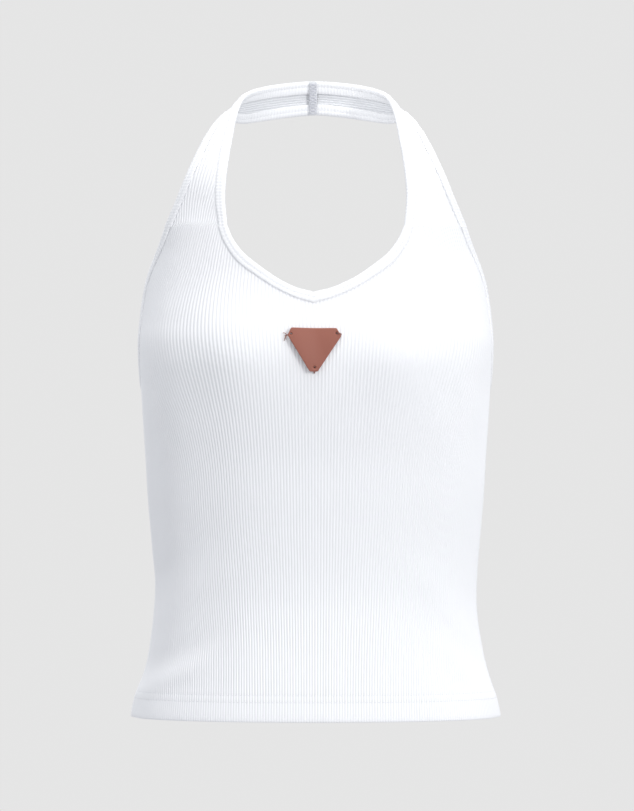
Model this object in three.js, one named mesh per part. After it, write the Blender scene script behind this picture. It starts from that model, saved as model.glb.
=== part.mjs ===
// Halter neck top in white rib knit, worn and hollow, with a leather badge.
// Millimetres. +Z is up and the front faces -Y. The origin is at the nape, on
// the inner face of the neck strap at the centre back.
import * as THREE from 'three';

// Cloth
const WALL = 1.1;
const RIB_HEIGHT = 0.45;
const HEM_FOLD = 1.3;
const HEM_TOP = -505;
const HEM_STEP = 2;
const SEAM_GAP = 0.3;

// Body: the side line stands this far in front of the nape
const NAPE_Y = 53.35;

// Bindings: leaf widths are counted from the fold
const BINDING = 1.0;
const OUTER_LEAF = 8;
const NECK_INNER_LEAF = 11;
const ARM_INNER_LEAF = 9.5;
const FOLD_REACH = 1.5;
const FOLD_ROUND = 1.2;
const LEAF_GAP = 0.45;
const LEAF_BOW = 0.15;
const INNER_GAP = 0.65;

// Leather badge
const BADGE_THICK = 2;
const BADGE_LIFT = 0.3;

// Seam allowance at the nape
const SEAM = { left: -5.5, right: 1.0, half: 14.2, thick: 1.2 };

const named = (names, rows) => rows.map(
  (row) => Object.fromEntries(names.map((name, i) => [name, row[i]])));

// Rings round the body: half width at the side line, reach of the front, place
// of the side line, reach of the back, and how square each half is.
const RINGS = named(
  ['z', 'half', 'front', 'side', 'back', 'squareFront', 'squareBack'], [
    [-528.3, 155.8, 98.5, 5, 94, 2.15, 2.3],
    [-514, 153.5, 97.5, 5, 92.5, 2.15, 2.3],
    [-497, 147.8, 95, 5, 89, 2.15, 2.3],
    [-472, 141.2, 91, 5, 81, 2.15, 2.3],
    [-450, 137.5, 88, 5, 74.5, 2.15, 2.25],
    [-429, 136.1, 86, 5, 71, 2.15, 2.2],
    [-412, 136.5, 86, 5, 71, 2.15, 2.2],
    [-378, 139, 88.5, 5, 75.5, 2.15, 2.2],
    [-344, 142, 92.5, 5, 82, 2.2, 2.25],
    [-310, 144, 97, 5, 87, 2.25, 2.3],
    [-276, 146.2, 104, 5, 90, 2.3, 2.3],
    [-242, 148.2, 110, 5, 91.5, 2.3, 2.3],
    [-225, 149.6, 111.5, 5, 91, 2.3, 2.3],
    [-208, 150.2, 110.5, 4, 90, 2.25, 2.3],
    [-190, 148.9, 106.5, 3.6, 88, 2.15, 2.3],
    [-166, 146, 99.5, 3.2, 85, 2.05, 2.3],
    [-132, 139.9, 93, 2.8, 80, 2, 2.3],
    [-113.4, 138.8, 88.3, 1.5, 78, 2, 2.3],
    [-98, 138, 84, 0, 76, 2, 2.3],
    [-64, 132, 70, 0, 70, 2, 2.3],
    [-47, 128, 58.8, 0, 66, 2, 2.3],
  ]);

// Fullness of the front at each side, added to the rings
const BUST = { x: 70, z: -222, rise: 7.5, wide: 34, above: 48, below: 38 };

// Cut edge of the front panel at the neckline
const NECK = named(['z', 'x'], [
  [-170.2, 0], [-167.4, 8.9], [-160.1, 26], [-147.8, 46],
  [-137, 61.2], [-125.2, 70.4], [-113.4, 75.5],
]);

// Cut edge of the front panel at the armhole, as its way in front of the side line
const ARM = named(['z', 'inset'], [
  [-241.5, 0.15], [-228, 10.5], [-212, 16], [-190, 16.2], [-170.2, 15.7],
  [-158, 17.5], [-143, 24.5], [-128, 33.5], [-113.4, 40.5],
]);
const BACK_TOP = { side: -241.5, dip: 6.5, run: 18 };

// Neck strap from the chest to the nape: its neckline edge, its armhole edge
// and the swell between them. The last row lies past the centre back.
const STRAP = named(
  ['along', 'nx', 'ny', 'nz', 'ox', 'oy', 'oz', 'swell'], [
    [0, 75.5, -73.8, -113.4, 126.4, -35.6, -113.4, 4.6],
    [21.5, 77.6, -67.5, -92, 117.5, -42.5, -92.5, 2.4],
    [51, 75.7, -57.4, -64, 105.6, -43, -64, 1.4],
    [69.5, 73.2, -46.4, -46.8, 97.7, -34.6, -47, 1.2],
    [85, 71.4, -38.5, -36.8, 90.9, -21, -33.7, 1.2],
    [103, 69.5, -27.7, -26.1, 82.7, -6.3, -21.8, 1.8],
    [121, 66.9, -12.7, -12.8, 77.3, 7.2, -17.9, 2.4],
    [138.5, 62.9, 4, -2.5, 71.5, 22, -20.5, 2],
    [155.5, 56.3, 20.7, 3.2, 62.2, 34.3, -21.2, 1.5],
    [175, 43.7, 38.3, 7.8, 47.3, 44.2, -19, 1],
    [200, 24, 53.1, 11.4, 25, 54.9, -15.5, 0.8],
    [225, 0.15, 58, 13.2, 0.15, 58, -13.2, 0.8],
    [250, -24, 53.1, 11.4, -25, 54.9, -15.5, 0.8],
  ]);
const STRAP_END = 225;
const STRAP_JOIN = 21.5;
const STRAP_FREE = 45;

// Width of one rib, how far the ribs lean towards the strap, and how much the
// bust spreads them, from SPREAD.from to SPREAD.to off the centre line
const PITCH = named(['z', 'pitch', 'lean', 'spread'], [
  [-528.3, 2.27, 0, 0], [-462, 2.31, 0, -0.04], [-434, 2.36, 0, -0.06], [-412, 2.39, 0, -0.07],
  [-361, 2.53, 0, -0.13], [-310, 2.64, 0, -0.11], [-276, 2.76, 0, 0.02], [-251, 2.87, 0, 0.19],
  [-226, 2.98, 0, 0.31], [-201, 3.1, 0, 0.25], [-176, 3.17, 0.3, 0.06], [-163, 3.18, 1, -0.04],
  [-151, 3.18, 2.5, -0.12], [-130, 3.15, 6, -0.17], [-113.4, 3.1, 10, -0.2],
]);
const SPREAD = { from: 40, to: 108, steps: 120 };
const LEAN_REACH = 100;
const STRAP_PITCH = 3.05;
const RIB_STEP = 0.5;
const INNER_STEP = 6;
const INNER_MARGINS = [0, 1.5, 3.2];

// Ribs flatten out over these ways from a seam, the armhole, the neckline and
// the strap's edges, where the bindings lie. The neckline's way counts above
// NECK_FADE.above.
const SEAM_FADE = [1, 3];
const ARM_FADE = [8.5, 11];
const NECK_FADE = { over: [10, 16], above: -190.2 };
const STRAP_FADE = [7.5, 9.5];

// Rows of the walls
const BODY_ROWS = [-528.3, -498, -462, -425, -370, -305, -241.5];
const V_ROW = -170.2;
const STRAP_FOOT = -113.4;
const CHEST_ROWS = [-223, -200, V_ROW, -161, -148, -132, STRAP_FOOT];
const RIBBED_STRAP_ROWS = [12.5, 25, 38, 51];
const PLAIN_STRAP_ROWS = [
  61, 71, 81, 89, 96, 102, 108, 114, 121, 129, 137, 146, 156, 168, 182, 196, 210, STRAP_END,
];
const PLAIN_STEP = 2;
const BACK_STATIONS = [6, 14, 22, 30, 38, 47, 58, 72, 87, 103, 120, 137, 154, 171];

// Badge outline: half width at each height
const BADGE = named(['z', 'half'], [
  [-235.5, 2.8], [-234.2, 4.2], [-228, 8], [-223, 11.1], [-215, 16.1],
  [-206.4, 21.4], [-204, 21.5], [-200.4, 19], [-199.6, 17.5],
]);
const BADGE_COLUMNS = 8;

// Smooth value of one column of a table at a key
function smooth(table, key, at, name) {
  const last = table.length - 1;
  let i = 0;
  while (i < last - 1 && at > table[i + 1][key]) i += 1;
  const step = (k) => table[k + 1][key] - table[k][key];
  const slope = (k) => (table[k + 1][name] - table[k][name]) / step(k);
  const tangent = (k) => {
    if (k === 0) return slope(0);
    if (k === last) return slope(last - 1);
    return (slope(k - 1) * step(k) + slope(k) * step(k - 1)) / (step(k) + step(k - 1));
  };
  const t = THREE.MathUtils.clamp((at - table[i][key]) / step(i), 0, 1);
  const rise = table[i + 1][name] - table[i][name];
  const out = tangent(i) * step(i);
  const into = tangent(i + 1) * step(i);
  const bend = out + into - 2 * rise;
  return table[i][name] + t * (out + t * (rise - out - bend + t * bend));
}

function ringAt(z) {
  const ring = {};
  for (const name of Object.keys(RINGS[0])) ring[name] = smooth(RINGS, 'z', z, name);
  return ring;
}

// Point of a ring, turned from the centre front or back towards the side
function turned(ring, z, turn, back) {
  const reach = back ? ring.back - ring.side : ring.front + ring.side;
  const square = back ? ring.squareBack : ring.squareFront;
  const across = Math.sin(turn) / ring.half;
  const ahead = Math.abs(Math.cos(turn)) / reach;
  const radius = (across ** square + ahead ** square) ** (-1 / square);
  const x = radius * Math.sin(turn);
  if (back) return [x, ring.side + radius * Math.cos(turn)];
  const fall = (z - BUST.z) / (z > BUST.z ? BUST.above : BUST.below);
  const full = Math.exp(-(((x - BUST.x) / BUST.wide) ** 2) - fall ** 2);
  return [x, ring.side - radius * Math.cos(turn) - BUST.rise * full];
}

// Lengths along each half ring, kept for each height
const TURNS = 120;
const kept = new Map();
function lengthsAt(z) {
  if (kept.has(z)) return kept.get(z);
  const ring = ringAt(z);
  const halves = [false, true].map((back) => {
    const lengths = [0];
    let before = turned(ring, z, 0, back);
    for (let i = 1; i <= TURNS; i += 1) {
      const here = turned(ring, z, (i / TURNS) * Math.PI / 2, back);
      lengths.push(lengths[i - 1] + Math.hypot(here[0] - before[0], here[1] - before[1]));
      before = here;
    }
    return lengths;
  });
  const found = { ring, front: halves[0], back: halves[1] };
  kept.set(z, found);
  return found;
}
const frontLength = (z) => lengthsAt(z).front[TURNS];
const backLength = (z) => lengthsAt(z).back[TURNS];

// Point of the body's outer base surface. The way round is counted from the
// side line: negative in front, positive at the back.
function body(way, z) {
  const { ring, front, back } = lengthsAt(z);
  const lengths = way > 0 ? back : front;
  const fromCentre = lengths[TURNS] - Math.abs(way);
  const wanted = Math.min(Math.abs(fromCentre), lengths[TURNS]);
  let i = 0;
  while (i < TURNS - 1 && lengths[i + 1] < wanted) i += 1;
  const part = (wanted - lengths[i]) / (lengths[i + 1] - lengths[i]);
  const [x, y] = turned(ring, z, ((i + part) / TURNS) * Math.PI / 2, way > 0);
  return new THREE.Vector3(Math.sign(fromCentre) * x, y, z);
}

// Front length from the centre line to a given half width
function lengthToWidth(x, z) {
  const { ring, front } = lengthsAt(z);
  let i = 0;
  while (i < TURNS && turned(ring, z, ((i + 1) / TURNS) * Math.PI / 2, false)[0] < x) i += 1;
  const low = turned(ring, z, (i / TURNS) * Math.PI / 2, false)[0];
  const high = turned(ring, z, ((i + 1) / TURNS) * Math.PI / 2, false)[0];
  return THREE.MathUtils.mapLinear(x, low, high, front[i], front[i + 1]);
}

// Point of the neck strap's outer base surface, measured along the strap and
// across it from the neckline edge
function strap(along, across) {
  const value = (name) => smooth(STRAP, 'along', along, name);
  const neck = new THREE.Vector3(value('nx'), value('ny'), value('nz'));
  const arm = new THREE.Vector3(value('ox'), value('oy'), value('oz'));
  const width = neck.distanceTo(arm);
  const part = across / width;
  const point = neck.clone().lerp(arm, part);
  const ahead = new THREE.Vector3(
    smooth(STRAP, 'along', along + 1, 'nx') + smooth(STRAP, 'along', along + 1, 'ox'),
    smooth(STRAP, 'along', along + 1, 'ny') + smooth(STRAP, 'along', along + 1, 'oy'),
    smooth(STRAP, 'along', along + 1, 'nz') + smooth(STRAP, 'along', along + 1, 'oz'),
  ).multiplyScalar(0.5).sub(neck.clone().lerp(arm, 0.5));
  const out = arm.clone().sub(neck).cross(ahead).normalize();
  const swell = value('swell') * THREE.MathUtils.smoothstep(along, 0, STRAP_FREE);
  point.addScaledVector(out, swell * 4 * part * (1 - part));
  if (along < STRAP_JOIN) {
    const ring = ringAt(point.z);
    const side = Math.min(Math.abs(point.x) / ring.half, 1);
    const chest = (1 - side ** ring.squareFront) ** (1 / ring.squareFront);
    const chestY = ring.side - (ring.front + ring.side) * chest;
    point.y = THREE.MathUtils.lerp(chestY, point.y, along / STRAP_JOIN);
  }
  return point;
}
function strapWidth(along) {
  const reach = ['x', 'y', 'z'].map(
    (axis) => smooth(STRAP, 'along', along, `o${axis}`) - smooth(STRAP, 'along', along, `n${axis}`));
  return Math.hypot(...reach);
}

// Moves a point of a surface outwards; first runs round or across, second up
const SLOPE_REACH = 0.5;
function raised(surface, first, second, lift) {
  const over = surface(first + SLOPE_REACH, second).sub(surface(first - SLOPE_REACH, second));
  const up = surface(first, second + SLOPE_REACH).sub(surface(first, second - SLOPE_REACH));
  const out = over.cross(up).normalize();
  return surface(first, second).addScaledVector(out, lift);
}
const bodyRaised = (way, z, lift) => raised(body, way, z, lift);
const strapRaised = (across, along, lift) => raised((a, b) => strap(b, a), across, along, lift);

// Distance from a place to a line of places
function distanceTo(line, place) {
  let nearest = Infinity;
  for (let i = 0; i + 1 < line.length; i += 1) {
    const [a, b] = [line[i], line[i + 1]];
    const [dx, dy] = [b[0] - a[0], b[1] - a[1]];
    const share = ((place[0] - a[0]) * dx + (place[1] - a[1]) * dy) / (dx * dx + dy * dy);
    const t = THREE.MathUtils.clamp(share, 0, 1);
    nearest = Math.min(nearest, Math.hypot(place[0] - a[0] - t * dx, place[1] - a[1] - t * dy));
  }
  return nearest;
}
const fade = (distance, [from, to]) => THREE.MathUtils.smoothstep(distance, from, to);

const neckWay = (z) => lengthToWidth(smooth(NECK, 'z', z, 'x'), z);
const armInset = (z) => smooth(ARM, 'z', z, 'inset');
const backTop = (way) => BACK_TOP.side - BACK_TOP.dip * (1 - Math.exp(-way / BACK_TOP.run));
const neckLine = CHEST_ROWS.filter((z) => z >= V_ROW).map((z) => [z === V_ROW ? 0 : neckWay(z), z]);
const armLine = [BACK_TOP.side, ...CHEST_ROWS].map((z) => [armInset(z), z]);

// Value at a place between the entries of two rising lists
function between(place, places, values) {
  let i = 0;
  while (i < places.length - 2 && places[i + 1] < place) i += 1;
  return THREE.MathUtils.mapLinear(place, places[i], places[i + 1], values[i], values[i + 1]);
}

// Ribs counted from the centre front, over the ways from it
function ribCount(z, length) {
  const [pitch, lean, spread] = ['pitch', 'lean', 'spread'].map((name) => smooth(PITCH, 'z', z, name));
  const step = length / SPREAD.steps;
  const density = (way) => 1 / (1 + spread * fade(way, [SPREAD.from, SPREAD.to]));
  const ways = [0];
  const ribs = [0];
  let straight = 0;
  for (let i = 1; i <= SPREAD.steps; i += 1) {
    const way = i * step;
    straight += (density(way - step) + density(way)) / 2 * step;
    ways.push(way);
    ribs.push((straight + lean * Math.min(way / LEAN_REACH, 1)) / pitch);
  }
  return { ways, ribs };
}

// Rows. Each one runs over the ribs from start to end, and gives its points.
function frontRow(z) {
  const length = frontLength(z);
  const inset = z <= BACK_TOP.side ? SEAM_GAP / 2 : armInset(z);
  const startWay = z > V_ROW ? neckWay(z) : 0;
  const { ways, ribs } = ribCount(z, length);
  const placeOf = (rib) => between(rib, ribs, ways);
  const lift = (fromCentre) => {
    const toSide = length - fromCentre;
    const side = Math.min(fade(toSide, SEAM_FADE), fade(distanceTo(armLine, [toSide, z]), ARM_FADE));
    const neck = fade(distanceTo(neckLine, [fromCentre, z]), NECK_FADE.over);
    return side * (z < NECK_FADE.above ? 1 : neck);
  };
  return {
    key: z,
    start: between(startWay, ways, ribs),
    end: between(length - inset, ways, ribs),
    lift: (rib) => lift(placeOf(rib)),
    point: (rib, out) => bodyRaised(placeOf(rib) - length, z, out),
  };
}

// The strap's ribs go on from those at its foot
const strapFoot = frontRow(STRAP_FOOT);
const middleRib = (strapFoot.start + strapFoot.end) / 2;
const footPitch = strapWidth(0) / (strapFoot.end - strapFoot.start);

function strapRow(along) {
  const width = strapWidth(along);
  const pitch = THREE.MathUtils.lerp(footPitch, STRAP_PITCH, fade(along, [0, STRAP_FREE]));
  const placeOf = (rib) => (rib - middleRib) * pitch + width / 2;
  return {
    key: along,
    plain: PLAIN_STRAP_ROWS.includes(along),
    start: middleRib - width / 2 / pitch,
    end: middleRib + width / 2 / pitch,
    lift: (rib) => {
      const place = placeOf(rib);
      return fade(Math.min(place, width - place), STRAP_FADE);
    },
    point: (rib, out) => strapRaised(placeOf(rib), along, out),
  };
}

function backRow(z) {
  const pitch = smooth(PITCH, 'z', z, 'pitch');
  const length = backLength(z);
  const top = z === BACK_TOP.side;
  const placeOf = (rib) => length + rib * pitch;
  const topPoint = (way, out) => {
    const low = backTop(way);
    return bodyRaised((way * backLength(low)) / length, low, out);
  };
  return {
    key: z,
    start: (SEAM_GAP / 2 - length) / pitch,
    end: 0,
    lift: (rib) => (top ? 0 : fade(placeOf(rib), SEAM_FADE)),
    point: (rib, out) => (top ? topPoint(placeOf(rib), out) : bodyRaised(placeOf(rib), z, out)),
  };
}

// One closed wall or band, built as a right half and mirrored
class Half {
  constructor() {
    this.points = [];
    this.faces = [];
  }

  add(point) {
    this.points.push(point);
    return this.points.length - 1;
  }

  // Joins two lines of corners, each [key, index], in the order of their keys
  zip(low, high) {
    let i = 0;
    let j = 0;
    while (i + 1 < low.length || j + 1 < high.length) {
      const stepLow = j + 1 >= high.length
        || (i + 1 < low.length && low[i + 1][0] + low[i][0] <= high[j + 1][0] + high[j][0]);
      if (stepLow) {
        this.faces.push([low[i][1], low[i + 1][1], high[j][1]]);
        i += 1;
      } else {
        this.faces.push([low[i][1], high[j + 1][1], high[j][1]]);
        j += 1;
      }
    }
  }

  // Geometry of both halves, moved to the nape's frame, with its faces outwards
  geometry() {
    const corners = [];
    const put = (index, mirror) => {
      const point = this.points[index];
      corners.push(new THREE.Vector3(mirror * point.x, point.y - NAPE_Y, point.z));
    };
    for (const [a, b, c] of this.faces) {
      for (const index of [a, b, c]) put(index, 1);
      for (const index of [a, c, b]) put(index, -1);
    }
    let volume = 0;
    for (let i = 0; i < corners.length; i += 3) {
      volume += corners[i].dot(corners[i + 1].clone().cross(corners[i + 2]));
    }
    if (volume < 0) {
      for (let i = 0; i < corners.length; i += 3) {
        [corners[i + 1], corners[i + 2]] = [corners[i + 2], corners[i + 1]];
      }
    }
    const geometry = new THREE.BufferGeometry();
    geometry.setAttribute('position', new THREE.Float32BufferAttribute(
      corners.flatMap((corner) => corner.toArray()), 3));
    geometry.computeVertexNormals();
    return geometry;
  }
}

// Corners along a row, a step apart between a start and an end margin, with
// at least CORNER_ROOM of a step after the margins
const CORNER_ROOM = 0.25;
function corners(half, row, step, out, margins = [0]) {
  const ribs = margins.map((margin) => row.start + margin);
  const room = margins[margins.length - 1] + step * CORNER_ROOM;
  const start = row.start + room;
  const end = row.end - room;
  for (let rib = Math.ceil(start / step) * step; rib < end; rib += step) ribs.push(rib);
  for (const margin of [...margins].reverse()) ribs.push(row.end - margin);
  return ribs.map((rib) => [rib, half.add(row.point(rib, out(rib)))]);
}
const ribbed = (row) => (rib) => RIB_HEIGHT * row.lift(rib) * (0.5 + 0.5 * Math.cos(2 * Math.PI * rib));
const inside = (z) => -(WALL + (z <= HEM_TOP - HEM_STEP ? HEM_FOLD : 0));

const firstOf = (line) => line[0];
const lastOf = (line) => line[line.length - 1];
const edge = (rows, lines, pick) => lines.map((line, i) => [rows[i].order, pick(line)[1]]);

// Outer and inner faces of a wall, closed along its first and last rows
function clothWall(outerRows, innerRows, innerOut) {
  const half = new Half();
  const outer = outerRows.map((row) => (row.plain
    ? corners(half, row, PLAIN_STEP, () => 0)
    : corners(half, row, RIB_STEP, ribbed(row))));
  const inner = innerRows.map((row) => (row.plain
    ? corners(half, row, PLAIN_STEP, () => innerOut(row))
    : corners(half, row, INNER_STEP, () => innerOut(row), INNER_MARGINS)));
  for (let i = 0; i + 1 < outer.length; i += 1) half.zip(outer[i], outer[i + 1]);
  for (let i = 0; i + 1 < inner.length; i += 1) half.zip(inner[i + 1], inner[i]);
  half.zip(inner[0], outer[0]);
  half.zip(lastOf(outer), lastOf(inner));
  return { half, outer, inner };
}

// Order of a row from the hem up to the nape, the same for inner and outer rows
const BELOW_STRAP = 1000;
const onBody = (row) => ({ ...row, order: row.key - BELOW_STRAP });
const onStrap = (row) => ({ ...row, order: row.key });

const hemRows = [BODY_ROWS[0], HEM_TOP - HEM_STEP, HEM_TOP];
const strapStations = [...RIBBED_STRAP_ROWS, ...PLAIN_STRAP_ROWS];

function frontPanel() {
  const straps = strapStations.map(strapRow).map(onStrap);
  const outerRows = [...BODY_ROWS, ...CHEST_ROWS].map(frontRow).map(onBody).concat(straps);
  const innerHeights = [...hemRows, ...BODY_ROWS.slice(1), ...CHEST_ROWS];
  const innerRows = innerHeights.map(frontRow).map(onBody).concat(straps);
  const innerOut = (row) => (row.order < 0 ? inside(row.key) : -WALL);
  const { half, outer, inner } = clothWall(outerRows, innerRows, innerOut);
  half.zip(edge(innerRows, inner, lastOf), edge(outerRows, outer, lastOf));
  const above = (rows, lines) => edge(rows, lines, firstOf)
    .filter(([order]) => order >= V_ROW - BELOW_STRAP);
  half.zip(above(outerRows, outer), above(innerRows, inner));
  return half.geometry();
}

function backPanel() {
  const outerRows = BODY_ROWS.map(backRow).map(onBody);
  const innerRows = [...hemRows, ...BODY_ROWS.slice(1)].map(backRow).map(onBody);
  const { half, outer, inner } = clothWall(outerRows, innerRows, (row) => inside(row.key));
  half.zip(edge(outerRows, outer, firstOf), edge(innerRows, inner, firstOf));
  return half.geometry();
}

// Cut of a folded binding: way in from the cloth's edge, and lift off the cloth
function bindingCut(innerLeaf) {
  const outside = LEAF_GAP + BINDING;
  const lining = -(WALL + INNER_GAP);
  return [
    [OUTER_LEAF / 2 - FOLD_REACH, LEAF_GAP + LEAF_BOW],
    [OUTER_LEAF - FOLD_REACH, LEAF_GAP],
    [OUTER_LEAF - FOLD_REACH, outside],
    [FOLD_ROUND - FOLD_REACH, outside],
    [-FOLD_REACH, (LEAF_GAP + lining) / 2],
    [FOLD_ROUND - FOLD_REACH, lining - BINDING],
    [innerLeaf - FOLD_REACH, lining - BINDING],
    [innerLeaf - FOLD_REACH, lining],
    [BINDING - FOLD_REACH, lining],
    [BINDING - FOLD_REACH, LEAF_GAP],
  ];
}

// A binding swept through stations, each giving a point for a way in and a lift
function bindingSweep(cut, stations) {
  const half = new Half();
  const loops = stations.map((station) => cut.map(([into, lift]) => half.add(station(into, lift))));
  for (let i = 0; i + 1 < loops.length; i += 1) {
    for (let k = 0; k < cut.length; k += 1) {
      const next = (k + 1) % cut.length;
      half.faces.push([loops[i][k], loops[i][next], loops[i + 1][next]]);
      half.faces.push([loops[i][k], loops[i + 1][next], loops[i + 1][k]]);
    }
  }
  const flat = cut.map(([into, lift]) => new THREE.Vector2(into, lift));
  for (const [a, b, c] of THREE.ShapeUtils.triangulateShape(flat, [])) {
    half.faces.push([loops[0][a], loops[0][c], loops[0][b]]);
  }
  return half.geometry();
}

// Stations on the body along an edge line of [way round, height] places. The
// last one lies on the middle of the garment, where the mirrored half joins.
function edgeStations(line, endTurn) {
  return line.map((place, i) => {
    const before = line[Math.max(i - 1, 0)];
    const after = line[Math.min(i + 1, line.length - 1)];
    const run = [after[0] - before[0], after[1] - before[1]];
    const size = Math.hypot(...run);
    let into = [run[1] / size, -run[0] / size];
    if (i === line.length - 1) into = endTurn;
    return (way, lift) => bodyRaised(place[0] + into[0] * way, place[1] + into[1] * way, lift);
  });
}

const NECK_SLOPE_REACH = 3;
function neckBinding() {
  const strapPart = [...strapStations].reverse().map(
    (along) => (into, lift) => strapRaised(into, along, lift));
  const joinPlace = neckWay(STRAP_FOOT) - frontLength(STRAP_FOOT);
  const join = (into, lift) => bodyRaised(joinPlace + into, STRAP_FOOT, lift);
  const heights = CHEST_ROWS.filter((z) => z > V_ROW && z < STRAP_FOOT).reverse();
  const chest = heights.map((z) => {
    const [low, high] = [z - NECK_SLOPE_REACH, z + NECK_SLOPE_REACH];
    const slope = (neckWay(high) - neckWay(low)) / (high - low);
    const size = Math.hypot(slope, 1);
    return (into, lift) => {
      const height = z - (slope / size) * into;
      return bodyRaised(neckWay(z) + into / size - frontLength(height), height, lift);
    };
  });
  const mitre = Math.hypot(1, (neckLine[1][1] - V_ROW) / neckLine[1][0]);
  const point = (into, lift) => {
    const low = V_ROW - into * mitre;
    return bodyRaised(-frontLength(low), low, lift);
  };
  return bindingSweep(bindingCut(NECK_INNER_LEAF), [...strapPart, join, ...chest, point]);
}

function armholeBinding() {
  const strapPart = [...strapStations].reverse().map(
    (along) => (into, lift) => strapRaised(strapWidth(along) - into, along, lift));
  const join = (into, lift) => bodyRaised(-armInset(STRAP_FOOT) - into, STRAP_FOOT, lift);
  const heights = [BACK_TOP.side, ...CHEST_ROWS].filter((z) => z < STRAP_FOOT).reverse();
  const front = heights.map((z) => [z === BACK_TOP.side ? 0 : -armInset(z), z]);
  const length = backLength(BACK_TOP.side);
  const back = [...BACK_STATIONS, length].map((way) => [way, backTop(way)]);
  const line = [...front, ...back];
  const stations = edgeStations(line, [0, -1]);
  const centre = (into, lift) => {
    const low = backTop(length) - into;
    return bodyRaised(backLength(low), low, lift);
  };
  stations[stations.length - 1] = centre;
  return bindingSweep(bindingCut(ARM_INNER_LEAF), [...strapPart, join, ...stations]);
}

// Seam allowance, pressed to one side inside the strap
function neckSeam() {
  const { left, right, half, thick } = SEAM;
  const geometry = new THREE.BoxGeometry(right - left, thick, 2 * half);
  geometry.translate((left + right) / 2, thick / 2, 0);
  return geometry;
}

function badge() {
  const half = new Half();
  const faceRow = (lift) => BADGE.map(({ z, half: width }) => {
    const line = [];
    for (let i = 0; i <= BADGE_COLUMNS / 2; i += 1) {
      const part = (2 * i) / BADGE_COLUMNS;
      line.push([part, half.add(bodyRaised(width * part - frontLength(z), z, lift))]);
    }
    return line;
  });
  const low = RIB_HEIGHT + BADGE_LIFT;
  const rear = faceRow(low);
  const face = faceRow(low + BADGE_THICK);
  const side = (lines) => lines.map((line, i) => [i, line[line.length - 1][1]]);
  for (let i = 0; i + 1 < face.length; i += 1) {
    half.zip(face[i], face[i + 1]);
    half.zip(rear[i + 1], rear[i]);
  }
  half.zip(rear[0], face[0]);
  half.zip(face[face.length - 1], rear[rear.length - 1]);
  half.zip(side(rear), side(face));
  return half.geometry();
}

const knit = () => new THREE.MeshStandardMaterial({ color: '#f4f4f6', roughness: 0.9, metalness: 0 });
const leather = () => new THREE.MeshStandardMaterial({ color: '#96584a', roughness: 0.6, metalness: 0 });

const top = new THREE.Group();
function place(name, geometry, material) {
  const mesh = new THREE.Mesh(geometry, material);
  mesh.name = name;
  top.add(mesh);
}
place('front_panel', frontPanel(), knit());
place('back_panel', backPanel(), knit());
place('neck_binding', neckBinding(), knit());
place('armhole_binding', armholeBinding(), knit());
place('neck_seam', neckSeam(), knit());
place('badge', badge(), leather());

export default top;
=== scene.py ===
import math

import bpy
import numpy as np
from bpy.props import FloatProperty, FloatVectorProperty, PointerProperty
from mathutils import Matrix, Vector, geometry


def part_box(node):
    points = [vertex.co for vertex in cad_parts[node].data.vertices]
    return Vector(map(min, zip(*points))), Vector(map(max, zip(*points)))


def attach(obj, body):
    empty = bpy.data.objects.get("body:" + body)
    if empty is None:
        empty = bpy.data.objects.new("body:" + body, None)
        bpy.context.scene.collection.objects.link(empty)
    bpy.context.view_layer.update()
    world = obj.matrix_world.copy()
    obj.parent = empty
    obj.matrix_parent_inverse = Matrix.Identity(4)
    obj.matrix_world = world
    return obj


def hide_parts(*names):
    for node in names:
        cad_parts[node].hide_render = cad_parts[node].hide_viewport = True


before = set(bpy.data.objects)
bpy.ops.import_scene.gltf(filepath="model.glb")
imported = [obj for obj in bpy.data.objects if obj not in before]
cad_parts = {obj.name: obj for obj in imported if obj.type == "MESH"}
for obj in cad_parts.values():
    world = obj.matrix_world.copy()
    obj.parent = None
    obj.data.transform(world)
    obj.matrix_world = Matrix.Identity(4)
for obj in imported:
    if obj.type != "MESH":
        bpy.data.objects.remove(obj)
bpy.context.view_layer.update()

bl_info = {
    "name": "Halter Neck Top",
    "version": (1, 0, 0),
    "blender": (4, 5, 0),
    "location": "View3D > Sidebar > Halter Top",
    "description": "Builds a rib knit halter neck top with bound edges and a leather badge",
    "category": "Add Mesh",
}

# Sizes are in millimetres in the garment's own frame: the body's axis stands at
# y = 0, and the nape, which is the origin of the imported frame, lies behind it.
MM = 0.001
NAPE_Y = 53.35


class Table:
    """Short table with named columns, read as smooth curves over its first column."""

    def __init__(self, names, rows):
        data = np.array(rows, dtype=float)
        self.key = data[:, 0]
        self.columns = {name: data[:, i + 1] for i, name in enumerate(names)}
        self.slopes = {name: self._slopes(column) for name, column in self.columns.items()}

    def _slopes(self, column):
        step = np.diff(self.key)
        slope = np.diff(column) / step
        inner = (slope[:-1] * step[1:] + slope[1:] * step[:-1]) / (step[1:] + step[:-1])
        return np.concatenate([slope[:1], inner, slope[-1:]])

    def __call__(self, name, at):
        column, slopes = self.columns[name], self.slopes[name]
        at = np.clip(np.asarray(at, dtype=float), self.key[0], self.key[-1])
        i = np.clip(np.searchsorted(self.key, at, side="right") - 1, 0, len(self.key) - 2)
        step = self.key[i + 1] - self.key[i]
        t = (at - self.key[i]) / step
        rise = column[i + 1] - column[i]
        out, into = slopes[i] * step, slopes[i + 1] * step
        bend = out + into - 2 * rise
        return column[i] + t * (out + t * (rise - out - bend + t * bend))


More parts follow.
